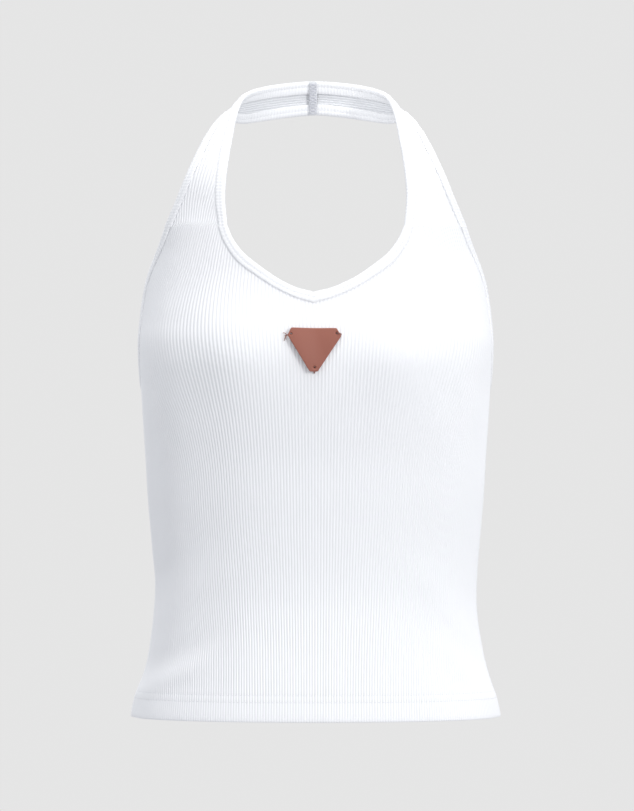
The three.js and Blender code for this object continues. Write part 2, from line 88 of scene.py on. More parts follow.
# Rings round the body: half width at the side line, reach of the front, place of
# the side line, reach of the back, and how square each half is
RINGS = Table(("half", "front", "side", "back", "square_front", "square_back"), [
    (-528.3, 155.8, 98.5, 5, 94, 2.15, 2.3),
    (-514, 153.5, 97.5, 5, 92.5, 2.15, 2.3),
    (-497, 147.8, 95, 5, 89, 2.15, 2.3),
    (-472, 141.2, 91, 5, 81, 2.15, 2.3),
    (-450, 137.5, 88, 5, 74.5, 2.15, 2.25),
    (-429, 136.1, 86, 5, 71, 2.15, 2.2),
    (-412, 136.5, 86, 5, 71, 2.15, 2.2),
    (-378, 139, 88.5, 5, 75.5, 2.15, 2.2),
    (-344, 142, 92.5, 5, 82, 2.2, 2.25),
    (-310, 144, 97, 5, 87, 2.25, 2.3),
    (-276, 146.2, 104, 5, 90, 2.3, 2.3),
    (-242, 148.2, 110, 5, 91.5, 2.3, 2.3),
    (-225, 149.6, 111.5, 5, 91, 2.3, 2.3),
    (-208, 150.2, 110.5, 4, 90, 2.25, 2.3),
    (-190, 148.9, 106.5, 3.6, 88, 2.15, 2.3),
    (-166, 146, 99.5, 3.2, 85, 2.05, 2.3),
    (-132, 139.9, 93, 2.8, 80, 2, 2.3),
    (-113.4, 138.8, 88.3, 1.5, 78, 2, 2.3),
    (-98, 138, 84, 0, 76, 2, 2.3),
    (-64, 132, 70, 0, 70, 2, 2.3),
    (-47, 128, 58.8, 0, 66, 2, 2.3),
])
BUST = {"x": 70, "z": -222, "rise": 7.5, "wide": 34, "above": 48, "below": 38}

# Cut edge of the front panel at the neckline, and its way from the side line at
# the armhole
V_POINT = -170.2
STRAP_FOOT = -113.4
NECK = Table(("x",), [
    (V_POINT, 0), (-167.4, 8.9), (-160.1, 26), (-147.8, 46),
    (-137, 61.2), (-125.2, 70.4), (STRAP_FOOT, 75.5),
])
ARM = Table(("inset",), [
    (-241.5, 0.15), (-228, 10.5), (-212, 16), (-190, 16.2), (V_POINT, 15.7),
    (-158, 17.5), (-143, 24.5), (-128, 33.5), (STRAP_FOOT, 40.5),
])
BACK_TOP = {"side": -241.5, "dip": 6.5, "run": 18}
HEM = -528.3
HEM_TOP = -505

# Neck strap from the chest to the nape: neckline edge, armhole edge and swell
STRAP = Table(("nx", "ny", "nz", "ox", "oy", "oz", "swell"), [
    (0, 75.5, -73.8, STRAP_FOOT, 126.4, -35.6, STRAP_FOOT, 4.6),
    (21.5, 77.6, -67.5, -92, 117.5, -42.5, -92.5, 2.4),
    (51, 75.7, -57.4, -64, 105.6, -43, -64, 1.4),
    (69.5, 73.2, -46.4, -46.8, 97.7, -34.6, -47, 1.2),
    (85, 71.4, -38.5, -36.8, 90.9, -21, -33.7, 1.2),
    (103, 69.5, -27.7, -26.1, 82.7, -6.3, -21.8, 1.8),
    (121, 66.9, -12.7, -12.8, 77.3, 7.2, -17.9, 2.4),
    (138.5, 62.9, 4, -2.5, 71.5, 22, -20.5, 2),
    (155.5, 56.3, 20.7, 3.2, 62.2, 34.3, -21.2, 1.5),
    (175, 43.7, 38.3, 7.8, 47.3, 44.2, -19, 1),
    (200, 24, 53.1, 11.4, 25, 54.9, -15.5, 0.8),
    (225, 0.05, 58, 13.2, 0.05, 58, -13.2, 0.8),
    (250, -24, 53.1, 11.4, -25, 54.9, -15.5, 0.8),
])
STRAP_END = 225
STRAP_JOIN = 21.5
STRAP_FREE = 45

# Width of one rib on the body and along the strap, the ribs' lean towards the
# strap, and how far the bust spreads them beyond SPREAD_REACH
PITCH = Table(("pitch", "lean", "spread"), [
    (HEM, 2.27, 0, 0), (-462, 2.31, 0, -0.04), (-434, 2.36, 0, -0.06), (-412, 2.39, 0, -0.07),
    (-361, 2.53, 0, -0.13), (-310, 2.64, 0, -0.11), (-276, 2.76, 0, 0.02), (-251, 2.87, 0, 0.19),
    (-226, 2.98, 0, 0.31), (-201, 3.1, 0, 0.25), (-176, 3.17, 0.3, 0.06), (-163, 3.18, 1, -0.04),
    (-151, 3.18, 2.5, -0.12), (-130, 3.15, 6, -0.17), (STRAP_FOOT, 3.1, 10, -0.2),
])
SPREAD_REACH = (40, 108)
STRAP_PITCH = Table(("pitch",), [(0, 3.05), (51, 3.0), (103, 2.4), (150, 2.1), (225, 2.1)])
LEAN_REACH = 100
RIB_STEP = 0.25
# The ribs fade under the bindings and at the side seam, counted from the edge
BINDING_FADE = (5.6, 7.4)
SEAM_FADE = (0.4, 2.2)
SEAM_GROOVE = 1.1
RIB_CREST = 0.75
STITCH_DENT = 0.13
# Lift of the stitches: outside and inside of the bindings, and on the hem
BAND_STITCH_LIFTS = (1.32, -2.7)
HEM_STITCH_LIFT = 0.42
# Overlock loops: period, step along them and distance between the cross stitches
LOOP = {"period": 5.6, "step": 0.55, "cross": 1.4}
FLOOR = -1.35

# How far the hem's edge stands off, and its rounding beside the side seams
HEM_FLARE = 1.2
HEM_CORNER = {"x": 153, "reach": 3.5, "rise": 0.4}
# The V of the neckline lies a little to the left, and its mitre hangs lower
V_SHIFT = {"x": -1.9, "reach": 34, "height": 20}
V_TIP = {"reach": 15, "drop": 1.6, "over": (171, 181), "under": (183, 199)}
V_SAG = {"drop": 2.0, "side": (70, 100), "over": (130, 150), "under": (184, 199), "point": 10}

# Soft folds that the cloth keeps: place, way that it runs (degrees from level),
# half its length, half its width and its rise out of the cloth
FOLD_NAMES = ("x", "z", "run", "length", "width", "rise")
FRONT_FOLDS = [
    (-106, -424, 48, 52, 13, 1.5),
    (-122, -398, 52, 40, 11, -1.1),
    (-126, -494, 36, 40, 9, 2.0),
    (-116, -474, 38, 44, 11, -1.9),
    (112, -436, -44, 46, 13, 1.1),
    (126, -486, -36, 36, 10, 0.9),
    (-60, -500, 76, 34, 14, 0.9),
    (34, -506, 86, 30, 15, -0.8),
    (96, -502, -72, 30, 12, 0.8),
    (-112, -268, 62, 34, 12, -0.8),
    (118, -272, -58, 32, 12, -0.7),
]
BACK_FOLDS = [
    (-64, -420, 12, 60, 12, 1.4),
    (40, -446, -9, 66, 13, 1.6),
    (-30, -474, 6, 54, 11, -1.3),
    (72, -408, -14, 44, 11, -1.1),
    (-104, -494, 64, 36, 12, 1.1),
    (100, -500, -70, 32, 12, 1),
    (0, -300, 84, 60, 18, -0.9),
]

LEATHER_OUTLINE = [
    (-20.2, -200.3), (17.4, -200.1), (21.4, -206.4), (1.7, -235.4), (-5.0, -235.3), (-23.4, -206.2),
]
LEATHER_HOLES = [
    {"at": (-20.4, -205.2), "to": (-25.4, -206.4)},
    {"at": (17.7, -204.3), "to": (21.6, -205.2)},
    {"at": (-0.9, -231.9), "to": (-1.2, -237.2)},
]
# The badge stands off the cloth towards its lower left
BADGE_OFF = {"rise": 2.6, "over": (-8, 16)}
# Knotted thread ends beside the left corner: x, z and lift
LOOSE_ENDS = [
    [(-24.2, -205.6, 1.6), (-25.6, -204.4, 2.0), (-27.2, -204.1, 1.2)],
    [(-24.4, -206.2, 1.7), (-25.4, -208.0, 2.1), (-26.2, -210.4, 1.0)],
    [(-24.0, -206.0, 1.9), (-24.7, -207.6, 1.5), (-24.6, -209.4, 0.6)],
]


def smoothstep(value, low, high):
    t = np.clip((value - low) / (high - low), 0, 1)
    return t * t * (3 - 2 * t)


def turned(z, turn, back):
    """Point of a ring, turned from the centre front or back towards the side."""
    side = RINGS("side", z)
    reach = np.where(back, RINGS("back", z) - side, RINGS("front", z) + side)
    square = np.where(back, RINGS("square_back", z), RINGS("square_front", z))
    across = np.sin(turn) / RINGS("half", z)
    ahead = np.abs(np.cos(turn)) / reach
    radius = (np.maximum(across, 0) ** square + ahead ** square) ** (-1 / square)
    x = radius * np.sin(turn)
    fall = (z - BUST["z"]) / np.where(z > BUST["z"], BUST["above"], BUST["below"])
    full = BUST["rise"] * np.exp(-(((x - BUST["x"]) / BUST["wide"]) ** 2) - fall ** 2)
    y = np.where(back, side + radius * np.cos(turn), side - radius * np.cos(turn) - full)
    return x, y


class Body:
    """Outer base surface of the worn body, by way round and height.

    The way round is counted from the side line: negative in front, positive behind.
    """

    LEVELS = np.arange(-545.0, -40.0, 1.0)
    PARTS = np.linspace(0, 1, 129)

    def __init__(self):
        turns = np.linspace(0, math.pi / 2, 481)
        self.total, self.turn = {}, {}
        for back in (False, True):
            x, y = turned(self.LEVELS[:, None], turns[None, :], back)
            steps = np.hypot(np.diff(x, axis=1), np.diff(y, axis=1))
            lengths = np.concatenate([np.zeros((len(steps), 1)), np.cumsum(steps, axis=1)], axis=1)
            self.total[back] = lengths[:, -1]
            self.turn[back] = np.array([
                np.interp(self.PARTS * line[-1], line, turns) for line in lengths])

    def length(self, z, back=False):
        return np.interp(z, self.LEVELS, self.total[back])

    def _turn_at(self, part, z, back):
        column = part * (len(self.PARTS) - 1)
        row = np.clip(z - self.LEVELS[0], 0, len(self.LEVELS) - 1.001)
        i = np.minimum(column.astype(int), len(self.PARTS) - 2)
        j = row.astype(int)
        s, t = column - i, row - j
        turn = self.turn[back]
        low = turn[j, i] * (1 - s) + turn[j, i + 1] * s
        high = turn[j + 1, i] * (1 - s) + turn[j + 1, i + 1] * s
        return low * (1 - t) + high * t

    def __call__(self, way, z):
        way, z = np.broadcast_arrays(np.asarray(way, float), np.asarray(z, float))
        back = way > 0
        total = np.where(back, self.length(z, True), self.length(z, False))
        from_centre = total - np.abs(way)
        part = np.clip(np.abs(from_centre) / total, 0, 1)
        turn = np.where(back, self._turn_at(part, z, True), self._turn_at(part, z, False))
        x, y = turned(z, turn, back)
        return np.stack([np.sign(from_centre) * x, y, z], axis=-1)

    def length_to_width(self, x, z):
        """Front length from the centre line to a half width, at one height."""
        ways = np.linspace(0, self.length(z), 600)
        widths = self(ways - self.length(z), np.full(600, z))[:, 0]
        return float(np.interp(x, widths, ways))


body = Body()


def strap(across, along):
    """Outer base surface of the neck strap, across from its neckline edge."""
    across, along = np.broadcast_arrays(np.asarray(across, float), np.asarray(along, float))

    def edge(letter, at):
        return np.stack([STRAP(letter + axis, at) for axis in "xyz"], axis=-1)

    neck, arm = edge("n", along), edge("o", along)
    width = np.linalg.norm(arm - neck, axis=-1)
    part = across / width
    point = neck + (arm - neck) * part[..., None]
    ahead = edge("n", along + 1) + edge("o", along + 1) - neck - arm
    out = np.cross(arm - neck, ahead)
    out /= np.linalg.norm(out, axis=-1)[..., None]
    swell = STRAP("swell", along) * 4 * part * (1 - part) * smoothstep(along, 0, STRAP_FREE)
    point = point + out * swell[..., None]
    z = point[..., 2]
    square = RINGS("square_front", z)
    side = np.minimum(np.abs(point[..., 0]) / RINGS("half", z), 1)
    reach = RINGS("front", z) + RINGS("side", z)
    chest = RINGS("side", z) - reach * (1 - side ** square) ** (1 / square)
    mix = np.clip(along / STRAP_JOIN, 0, 1)
    point[..., 1] = chest * (1 - mix) + point[..., 1] * mix
    return point


def strap_width(along):
    reach = [STRAP("o" + axis, along) - STRAP("n" + axis, along) for axis in "xyz"]
    return np.sqrt(sum(part ** 2 for part in reach))


def raised(surface, first, second, lift):
    """Points of a surface moved outwards; first runs round or across, second up."""
    reach = 0.5
    over = surface(first + reach, second) - surface(first - reach, second)
    up = surface(first, second + reach) - surface(first, second - reach)
    out = np.cross(over, up)
    out /= np.linalg.norm(out, axis=-1)[..., None]
    return surface(first, second) + out * np.asarray(lift)[..., None]


def on_body(way, z, lift):
    way, z, lift = np.broadcast_arrays(*(np.asarray(v, float) for v in (way, z, lift)))
    return raised(body, way, z, lift)


def on_strap(across, along, lift):
    across, along, lift = np.broadcast_arrays(*(np.asarray(v, float) for v in (across, along, lift)))
    return raised(strap, across, along, lift)


def draped(points):
    """Moves points in the garment's frame by its soft folds."""
    points = np.array(points, dtype=float)
    x, y, z = points.T
    out = np.stack([x / 150 ** 2, (y - 5) / 105 ** 2], axis=-1)
    out /= np.maximum(np.linalg.norm(out, axis=-1), 1e-9)[:, None]
    rise = np.zeros(len(points))
    strength = bpy.context.scene.halter_cloth.fold_strength
    for folds, side in ((FRONT_FOLDS, -1), (BACK_FOLDS, 1)):
        share = np.clip(0.5 + side * (y - 5) / 30, 0, 1)
        for fold in folds:
            f = dict(zip(FOLD_NAMES, fold))
            run = math.radians(f["run"])
            along = (x - f["x"]) * math.cos(run) + (z - f["z"]) * math.sin(run)
            over = (z - f["z"]) * math.cos(run) - (x - f["x"]) * math.sin(run)
            over = over + 4 * np.sin(along / 19)
            bell = np.exp(-np.abs(along / f["length"]) ** 3 - (over / f["width"]) ** 2)
            rise += share * f["rise"] * bell
    flare = HEM_FLARE * smoothstep(-z, -HEM_TOP, -HEM)
    points[:, :2] += out * (strength * rise + flare)[:, None]
    corner = np.exp(-((np.abs(x) - HEM_CORNER["x"]) / HEM_CORNER["reach"]) ** 2)
    points[:, 2] += HEM_CORNER["rise"] * corner * smoothstep(-z, -HEM - 9, -HEM)
    front = smoothstep(-y, 0, 60)
    near = np.exp(-(x / V_SHIFT["reach"]) ** 2 - ((z - V_POINT) / V_SHIFT["height"]) ** 2)
    points[:, 0] += V_SHIFT["x"] * near * front
    tip = np.exp(-((x - V_SHIFT["x"]) / V_TIP["reach"]) ** 2)
    tip = tip * smoothstep(-z, *V_TIP["over"]) * (1 - smoothstep(-z, *V_TIP["under"]))
    points[:, 2] -= V_TIP["drop"] * tip * front
    sag = smoothstep(-z, *V_SAG["over"]) * (1 - smoothstep(-z, *V_SAG["under"]))
    sag = sag * (1 - smoothstep(np.abs(x), *V_SAG["side"]))
    sag = sag * (1 - 0.75 * np.exp(-((x - V_SHIFT["x"]) / V_SAG["point"]) ** 2))
    points[:, 2] -= V_SAG["drop"] * sag * front
    return points


def to_frame(points):
    """From the garment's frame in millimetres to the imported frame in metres."""
    return (np.asarray(points, float) - (0, NAPE_Y, 0)) * MM


def rib_shape(rib):
    """Height of a rib over its width: a broad crest and a narrow groove."""
    return np.abs(np.cos(np.pi * rib)) ** RIB_CREST


def distance_to(line, places):
    """Distance from places to a line of places, all flat."""
    line, places = np.asarray(line, float), np.asarray(places, float)
    nearest = np.full(len(places), np.inf)
    for a, b in zip(line[:-1], line[1:]):
        run = b - a
        t = np.clip(((places - a) @ run) / (run @ run), 0, 1)
        nearest = np.minimum(nearest, np.linalg.norm(places - a - t[:, None] * run, axis=1))
    return nearest


def back_top(way):
    return BACK_TOP["side"] - BACK_TOP["dip"] * (1 - np.exp(-np.asarray(way) / BACK_TOP["run"]))


def neck_way(z):
    return body.length_to_width(float(NECK("x", z)), z)


NECK_LINE = [(0.0, V_POINT)] + [
    (neck_way(z), z) for z in np.linspace(V_POINT + 1, STRAP_FOOT, 30)]
ARM_LINE = [(float(ARM("inset", z)), z) for z in np.linspace(BACK_TOP["side"], STRAP_FOOT, 30)]


# Socket maths

class Socket:
    """A node's output that adds Math nodes when it is used in an expression."""

    def __init__(self, shader, socket):
        self.shader, self.socket = shader, socket

    def _with(self, operation, *others):
        return self.shader.node(
            "ShaderNodeMath", {"operation": operation}, *([self] + list(others))).out(0)

    def __add__(self, other):
        return self._with("ADD", other)

    def __radd__(self, other):
        return self._with("ADD", other)

    def __mul__(self, other):
        return self._with("MULTIPLY", other)

    def __rmul__(self, other):
        return self._with("MULTIPLY", other)

    def __sub__(self, other):
        return self._with("SUBTRACT", other)

    def __rsub__(self, other):
        return (self * -1) + other

    def __pow__(self, other):
        return self._with("POWER", other)

    def wave(self):
        return self._with("SINE")

    def size(self):
        return self._with("ABSOLUTE")

    def above(self, edge):
        return self._with("GREATER_THAN", edge)

    def kept(self):
        return self._with("MAXIMUM", 0)._with("MINIMUM", 1)


class Node:
    def __init__(self, shader, made):
        self.shader, self.made = shader, made

    def out(self, key):
        return Socket(self.shader, self.made.outputs[key])


class Shader:
    """A material whose nodes are written as expressions."""

    def __init__(self, name):
        self.material = bpy.data.materials.new(name)
        self.material.use_nodes = True
        self.tree = self.material.node_tree
        self.surface = self.tree.nodes["Principled BSDF"]

    def node(self, kind, settings=None, *values, **named):
        made = self.tree.nodes.new(kind)
        for name, value in (settings or {}).items():
            setattr(made, name, value)
        for key, value in list(enumerate(values)) + list(named.items()):
            socket = made.inputs[key.replace("_", " ") if isinstance(key, str) else key]
            self.feed(socket, value)
        return Node(self, made)

    def feed(self, socket, value):
        if isinstance(value, Socket):
            self.tree.links.new(value.socket, socket)
        elif value is not None:
            socket.default_value = value

    def mix(self, factor, first, second):
        """Mix of two colours."""
        made = self.tree.nodes.new("ShaderNodeMix")
        made.data_type = "RGBA"
        self.feed(made.inputs[0], factor)
        self.feed(made.inputs[6], first)
        self.feed(made.inputs[7], second)
        return Socket(self, made.outputs[2])

    def noise(self, scale, detail, rough=0.5, place=None):
        settings = {"noise_dimensions": "3D"}
        return self.node("ShaderNodeTexNoise", settings, Vector=place, Scale=scale,
                         Detail=detail, Roughness=rough).out("Fac")

    def places(self):
        return self.node("ShaderNodeTexCoord").out("Object")

    def uv(self, name):
        """The two numbers of a UV map."""
        split = self.node("ShaderNodeSeparateXYZ", None, self.node(
            "ShaderNodeUVMap", {"uv_map": name}).out("UV"))
        return split.out("X"), split.out("Y")

    def number(self, name):
        return self.node("ShaderNodeAttribute", {"attribute_name": name}).out("Fac")

    def bump(self, height, distance, strength=1.0):
        return self.node("ShaderNodeBump", None, Height=height, Distance=distance,
                         Strength=strength).out("Normal")

    def finish(self, links, constants):
        for name, value in list(links.items()) + list(constants.items()):
            self.feed(self.surface.inputs[name], value)
        return self.material


def rgba(colour):
    return (*colour, 1.0)


def knit_material(name, rib_depth, groove, colours):
    """Rib knit: stitches on the ribs, painted shade in the grooves, soft cotton nap."""
    shader = Shader(name)
    across, up = shader.uv("knit")
    place = shader.places()
    rib = (across * math.pi)._with("COSINE").size()
    courses = up * (math.pi / 1.45)
    slant = (across * (2 * math.pi)).wave() * 0.9
    stitch = (courses + slant).wave().size()
    slub = shader.noise(900, 3, 0.6, place)
    cloud = shader.noise(9, 3, 0.5, place)
    nap = shader.noise(2600, 2, 0.5, place)
    height = rib ** RIB_CREST * rib_depth + stitch * rib * 0.00009 + slub * 0.00010 + nap * 0.00004
    # Painted shade: the groove colour darkens the hollows between the ribs, weighted by the groove
    # share.
    painted_groove_shade = (1 - rib) ** 1.6 * groove
    worn = shader.mix((cloud - 0.35).kept(), rgba(colours.cloth), rgba(colours.cloth_shade))
    colour = shader.mix(painted_groove_shade, worn, rgba(colours.groove))
    # Painted shade between the stitch courses, in the same groove colour.
    colour = shader.mix((1 - stitch) * 0.10, colour, rgba(colours.groove))
    return shader.finish(
        {"Base Color": colour, "Roughness": 0.82 + slub * 0.16, "Normal": shader.bump(height, 1.0)},
        {"Specular IOR Level": 0.18, "Sheen Weight": 0.25, "Sheen Roughness": 0.6})


def thread_material(name, colour, shade):
    """Twisted sewing thread."""
    shader = Shader(name)
    place = shader.places()
    twist = shader.noise(3200, 2, 0.6, place)
    tone = shader.mix(twist, rgba(colour), rgba(shade))
    return shader.finish(
        {"Base Color": tone, "Roughness": 0.55 + twist * 0.3,
         "Normal": shader.bump(twist, 0.00015)},
        {"Specular IOR Level": 0.3, "Sheen Weight": 0.2})


def leather_material(name, colours):
    """Fine grained leather, darker towards its edges."""
    shader = Shader(name)
    place = shader.places()
    edge = shader.number("from_edge")
    pores = shader.node("ShaderNodeTexVoronoi", {"feature": "DISTANCE_TO_EDGE"},
                        Vector=place, Scale=1700).out("Distance")
    grain = shader.noise(700, 5, 0.62, place)
    patch = shader.noise(90, 4, 0.55, place)
    speck = shader.noise(2400, 2, 0.5, place)
    tone = shader.mix((patch * 1.5 - 0.3).kept(), rgba(colours.leather), rgba(colours.leather_light))
    mottle = shader.noise(230, 3, 0.65, place)
    tone = shader.mix((mottle * 3.2 - 1.3).kept() * 0.7, tone, rgba(colours.leather_edge))
    tone = shader.mix((grain * 2.6 - 1.0).kept() * 0.6, tone, rgba(colours.leather_edge))
    # Darkens the leather towards its edge colour within about a millimetre of the edge, with lower
    # roughness there.
    rim_darkening = (1 - edge * 1.6).kept()
    tone = shader.mix(rim_darkening ** 1.5 * 0.6, tone, rgba(colours.leather_edge))
    height = pores * 0.00022 + grain * 0.00016 + speck * 0.00004
    return shader.finish(
        {"Base Color": tone, "Roughness": 0.5 + grain * 0.22 - rim_darkening * 0.1,
         "Normal": shader.bump(height, 1.0)},
        {"Specular IOR Level": 0.12})


# Mesh helpers

def zipped(low, low_start, high, high_start):
    """Triangles between two lines of corners, joined in the order of their keys."""
    if len(low) == len(high) and np.allclose(low, high):
        i = np.arange(len(low) - 1)
        a, b = low_start + i, high_start + i
        return np.concatenate([np.stack([a, a + 1, b + 1], 1), np.stack([a, b + 1, b], 1)]).tolist()
    faces, i, j = [], 0, 0
    low, high = list(low), list(high)
    while i + 1 < len(low) or j + 1 < len(high):
        by_low = j + 1 >= len(high) or (
            i + 1 < len(low) and low[i + 1] + low[i] <= high[j + 1] + high[j])
        if by_low:
            faces.append([low_start + i, low_start + i + 1, high_start + j])
            i += 1
        else:
            faces.append([low_start + i, high_start + j + 1, high_start + j])
            j += 1
    return faces


def zipped_points(low, high):
    """As zipped, for two lists of (key, corner) along an edge."""
    faces, i, j = [], 0, 0
    while i + 1 < len(low) or j + 1 < len(high):
        by_low = j + 1 >= len(high) or (
            i + 1 < len(low) and low[i + 1][0] + low[i][0] <= high[j + 1][0] + high[j][0])
        if by_low:
            faces.append([low[i][1], low[i + 1][1], high[j][1]])
            i += 1
        else:
            faces.append([low[i][1], high[j + 1][1], high[j][1]])
            j += 1
    return faces


class Cloth:
    """A closed piece built as a right half, mirrored and joined on the centre line."""

    def __init__(self):
        self.points, self.maps, self.faces, self.kinds = [], [], [], []
        self.count = 0

    def add(self, points, across, up):
        points = np.asarray(points, float)
        self.points.append(points)
        self.maps.append(np.stack([
            np.broadcast_to(across, len(points)), np.broadcast_to(up, len(points))], axis=1))
        start = self.count
        self.count += len(points)
        return start

    def face(self, faces, kind=0):
        self.faces.extend(faces)
        self.kinds.extend([kind] * len(faces))

    def object(self, name, materials):
        points = np.concatenate(self.points)
        maps = np.concatenate(self.maps)
        faces = np.array(self.faces)
        kinds = np.array(self.kinds)
        centre = np.abs(points[:, 0]) < 1e-6
        other = np.where(centre, np.arange(len(points)), 0)
        other[~centre] = len(points) + np.arange((~centre).sum())
        mirrored = points[~centre] * (-1, 1, 1)
        all_points = np.concatenate([points, mirrored])
        all_maps = np.concatenate([maps, maps[~centre] * (-1, 1)])
        all_faces = np.concatenate([faces, other[faces][:, ::-1]])
        all_kinds = np.concatenate([kinds, kinds])
        return mesh_object(name, draped(all_points), all_faces, materials, all_maps, all_kinds)


def mesh_object(name, points, faces, materials, maps=None, kinds=None):
    """Object from points in the garment's frame, with its faces turned outwards."""
    points, faces = np.asarray(points, float), np.asarray(faces)
    wedge = np.einsum("ij,ij->i", points[faces[:, 0]],
                      np.cross(points[faces[:, 1]], points[faces[:, 2]]))
    if wedge.sum() < 0:
        faces = faces[:, ::-1]
    mesh = bpy.data.meshes.new(name)
    mesh.from_pydata(to_frame(points).tolist(), [], faces.tolist())
    if maps is not None:
        layer = mesh.uv_layers.new(name="knit")
        corners = np.empty(len(mesh.loops), dtype=np.int32)
        mesh.loops.foreach_get("vertex_index", corners)
        layer.data.foreach_set("uv", maps[corners].astype(np.float32).ravel())
    for material in materials:
        mesh.materials.append(material)
    if kinds is not None:
        mesh.polygons.foreach_set("material_index", np.asarray(kinds, dtype=np.int32))
    mesh.polygons.foreach_set("use_smooth", np.ones(len(mesh.polygons), dtype=bool))
    mesh.validate()
    mesh.update()
    made = bpy.data.objects.new(name, mesh)
    bpy.context.scene.collection.objects.link(made)
    return made


def ride(piece, slot, *replaced):
    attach(piece, "root")
    if replaced:
        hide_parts(*replaced)


# Cloth rows

class Row:
    """One line of corners across a panel, in ribs from start to end."""

    def __init__(self, surface, second, place_of, start, end, up):
        self.surface, self.second, self.place_of = surface, second, place_of
        self.start, self.end, self.up = start, end, up

    def ribs(self, step, edges=()):
        near = step * 0.3
        inner = np.arange(math.ceil((self.start + near) / step) * step, self.end - near, step)
        extra = [self.start + e for e in edges] + [self.end - e for e in edges]
        ribs = np.unique(np.round(np.concatenate([[self.start], inner, extra, [self.end]]), 5))
        ribs = ribs[(ribs >= self.start - 1e-4) & (ribs <= self.end + 1e-4)]
        ribs[0], ribs[-1] = self.start, self.end
        return ribs

    def points(self, ribs, lift):
        place = self.place_of(ribs)
        second = self.second(place) if callable(self.second) else np.full(len(ribs), self.second)
        return self.surface(place, second, lift)


def no_groove(ribs):
    return 0 * ribs


def seam_groove(place_of):
    """Groove of the side seam, for ribs whose places are given by place_of."""
    def groove(ribs):
        return np.exp(-(place_of(ribs) / SEAM_GROOVE) ** 2)

    return groove


def front_row(z):
    pitch, lean, spread = (float(PITCH(name, z)) for name in ("pitch", "lean", "spread"))
    length = float(body.length(z))
    inset = 0.02 if z <= BACK_TOP["side"] else float(ARM("inset", z))
    start_way = neck_way(z) if z > V_POINT else 0.0
    ways = np.linspace(0, length, 240)
    density = 1 / (1 + spread * smoothstep(ways, *SPREAD_REACH))
    counted = np.cumsum(density) - density / 2 - density[0] / 2
    counted = (counted * ways[1] + lean * np.minimum(ways / LEAN_REACH, 1)) / pitch

    def rib_at(from_centre):
        return float(np.interp(from_centre, ways, counted))

    def place_of(ribs):
        return np.interp(ribs, counted, ways) - length

    row = Row(on_body, z, place_of, rib_at(start_way), rib_at(length - inset), z - STRAP_FOOT)

    def shape(ribs):
        place = place_of(ribs)
        to_side = -place
        arm = smoothstep(distance_to(
            ARM_LINE, np.stack([to_side, np.full(len(ribs), z)], 1)), *BINDING_FADE)
        neck = smoothstep(distance_to(
            NECK_LINE, np.stack([length + place, np.full(len(ribs), z)], 1)), *BINDING_FADE)
        seam = smoothstep(to_side, *SEAM_FADE)
        return np.minimum(np.minimum(arm, neck), seam)

    row.shape = shape
    row.groove = seam_groove(place_of) if z < BACK_TOP["side"] else no_groove
    return row


def strap_row(along):
    width, pitch = float(strap_width(along)), float(STRAP_PITCH("pitch", along))
    foot = front_row(STRAP_FOOT)
    middle = (foot.start + foot.end) / 2
    foot_pitch = float(strap_width(0)) / (foot.end - foot.start)
    pitch += (foot_pitch - pitch) * (1 - float(smoothstep(along, 0, STRAP_FREE)))

    def place_of(ribs):
        return (ribs - middle) * pitch + width / 2

    half = width / 2 / pitch
    row = Row(on_strap, along, place_of, middle - half, middle + half, along)

    def shape(ribs):
        place = place_of(ribs)
        return smoothstep(np.minimum(place, width - place), *BINDING_FADE)

    row.shape = shape
    row.groove = no_groove
    return row


def back_row(z):
    pitch, length = float(PITCH("pitch", z)), float(body.length(z, True))
    top = z >= BACK_TOP["side"] - 1e-6

    def place_of(ribs):
        place = length + ribs * pitch
        if top:
            return place * body.length(back_top(place), True) / length
        return place

    def second(place):
        return back_top(place) if top else np.full(len(place), z)

    row = Row(on_body, second, place_of, (0.02 - length) / pitch, 0.0, z - STRAP_FOOT)

    def shape(ribs):
        place = place_of(ribs)
        below = smoothstep(back_top(place) - second(place), *BINDING_FADE)
        return np.minimum(below, smoothstep(place, *SEAM_FADE))

    row.shape = shape
    row.groove = seam_groove(place_of)
    return row


def stitch_dent(z):
    """Dent of the twin hem stitching."""
    sewing = bpy.context.scene.halter_sewing
    rows = (HEM + sewing.hem_lower / MM, HEM + sewing.hem_upper / MM)
    return sum(math.exp(-((z - row) / 0.9) ** 2) for row in rows)


def build_panel(rows):
    """Starts a closed wall with raised ribs outside, doubled at the hem."""
    cloth = bpy.context.scene.halter_cloth
    wall, height = cloth.wall / MM, cloth.rib_height / MM
    hem_fold = cloth.hem_fold / MM
    piece = Cloth()

    def lay(row, step, lift_of, edges=()):
        ribs = row.ribs(step, edges)
        start = piece.add(row.points(ribs, lift_of(row, ribs)), ribs, row.up)
        return {"ribs": ribs, "start": start, "end": start + len(ribs) - 1, "row": row}

    def outside(row, ribs):
        dent = STITCH_DENT * stitch_dent(row.up + STRAP_FOOT) if row.up < 0 else 0
        pressed = 1 - 0.4 * float(smoothstep(-(row.up + STRAP_FOOT), -HEM - 19, -HEM - 14))
        return pressed * height * row.shape(ribs) * (rib_shape(ribs) - dent) - 0.7 * row.groove(ribs)

    def inside(row, ribs):
        folded = hem_fold if row.up + STRAP_FOOT < HEM_TOP else 0
        if row.up > 0:
            return -wall - 0.28 * height * row.shape(ribs) * rib_shape(ribs)
        return np.full(len(ribs), -wall - folded) + 0.5 * row.groove(ribs)

    hem_round = [(0.0, 0.5), (0.12, 0.22), (0.55, 0.06)]
    thick = wall + hem_fold
    outer = []
    for rise, share in hem_round:
        row = rows(HEM + rise)
        outer.append(lay(row, RIB_STEP, lambda r, ribs, s=share: (
            outside(r, ribs) * (1 - s) - s * thick)))
    return piece, lay, outside, inside, outer, thick


def body_heights(low, high, step):
    return list(np.linspace(low, high, max(2, int(round((high - low) / step)) + 1)))


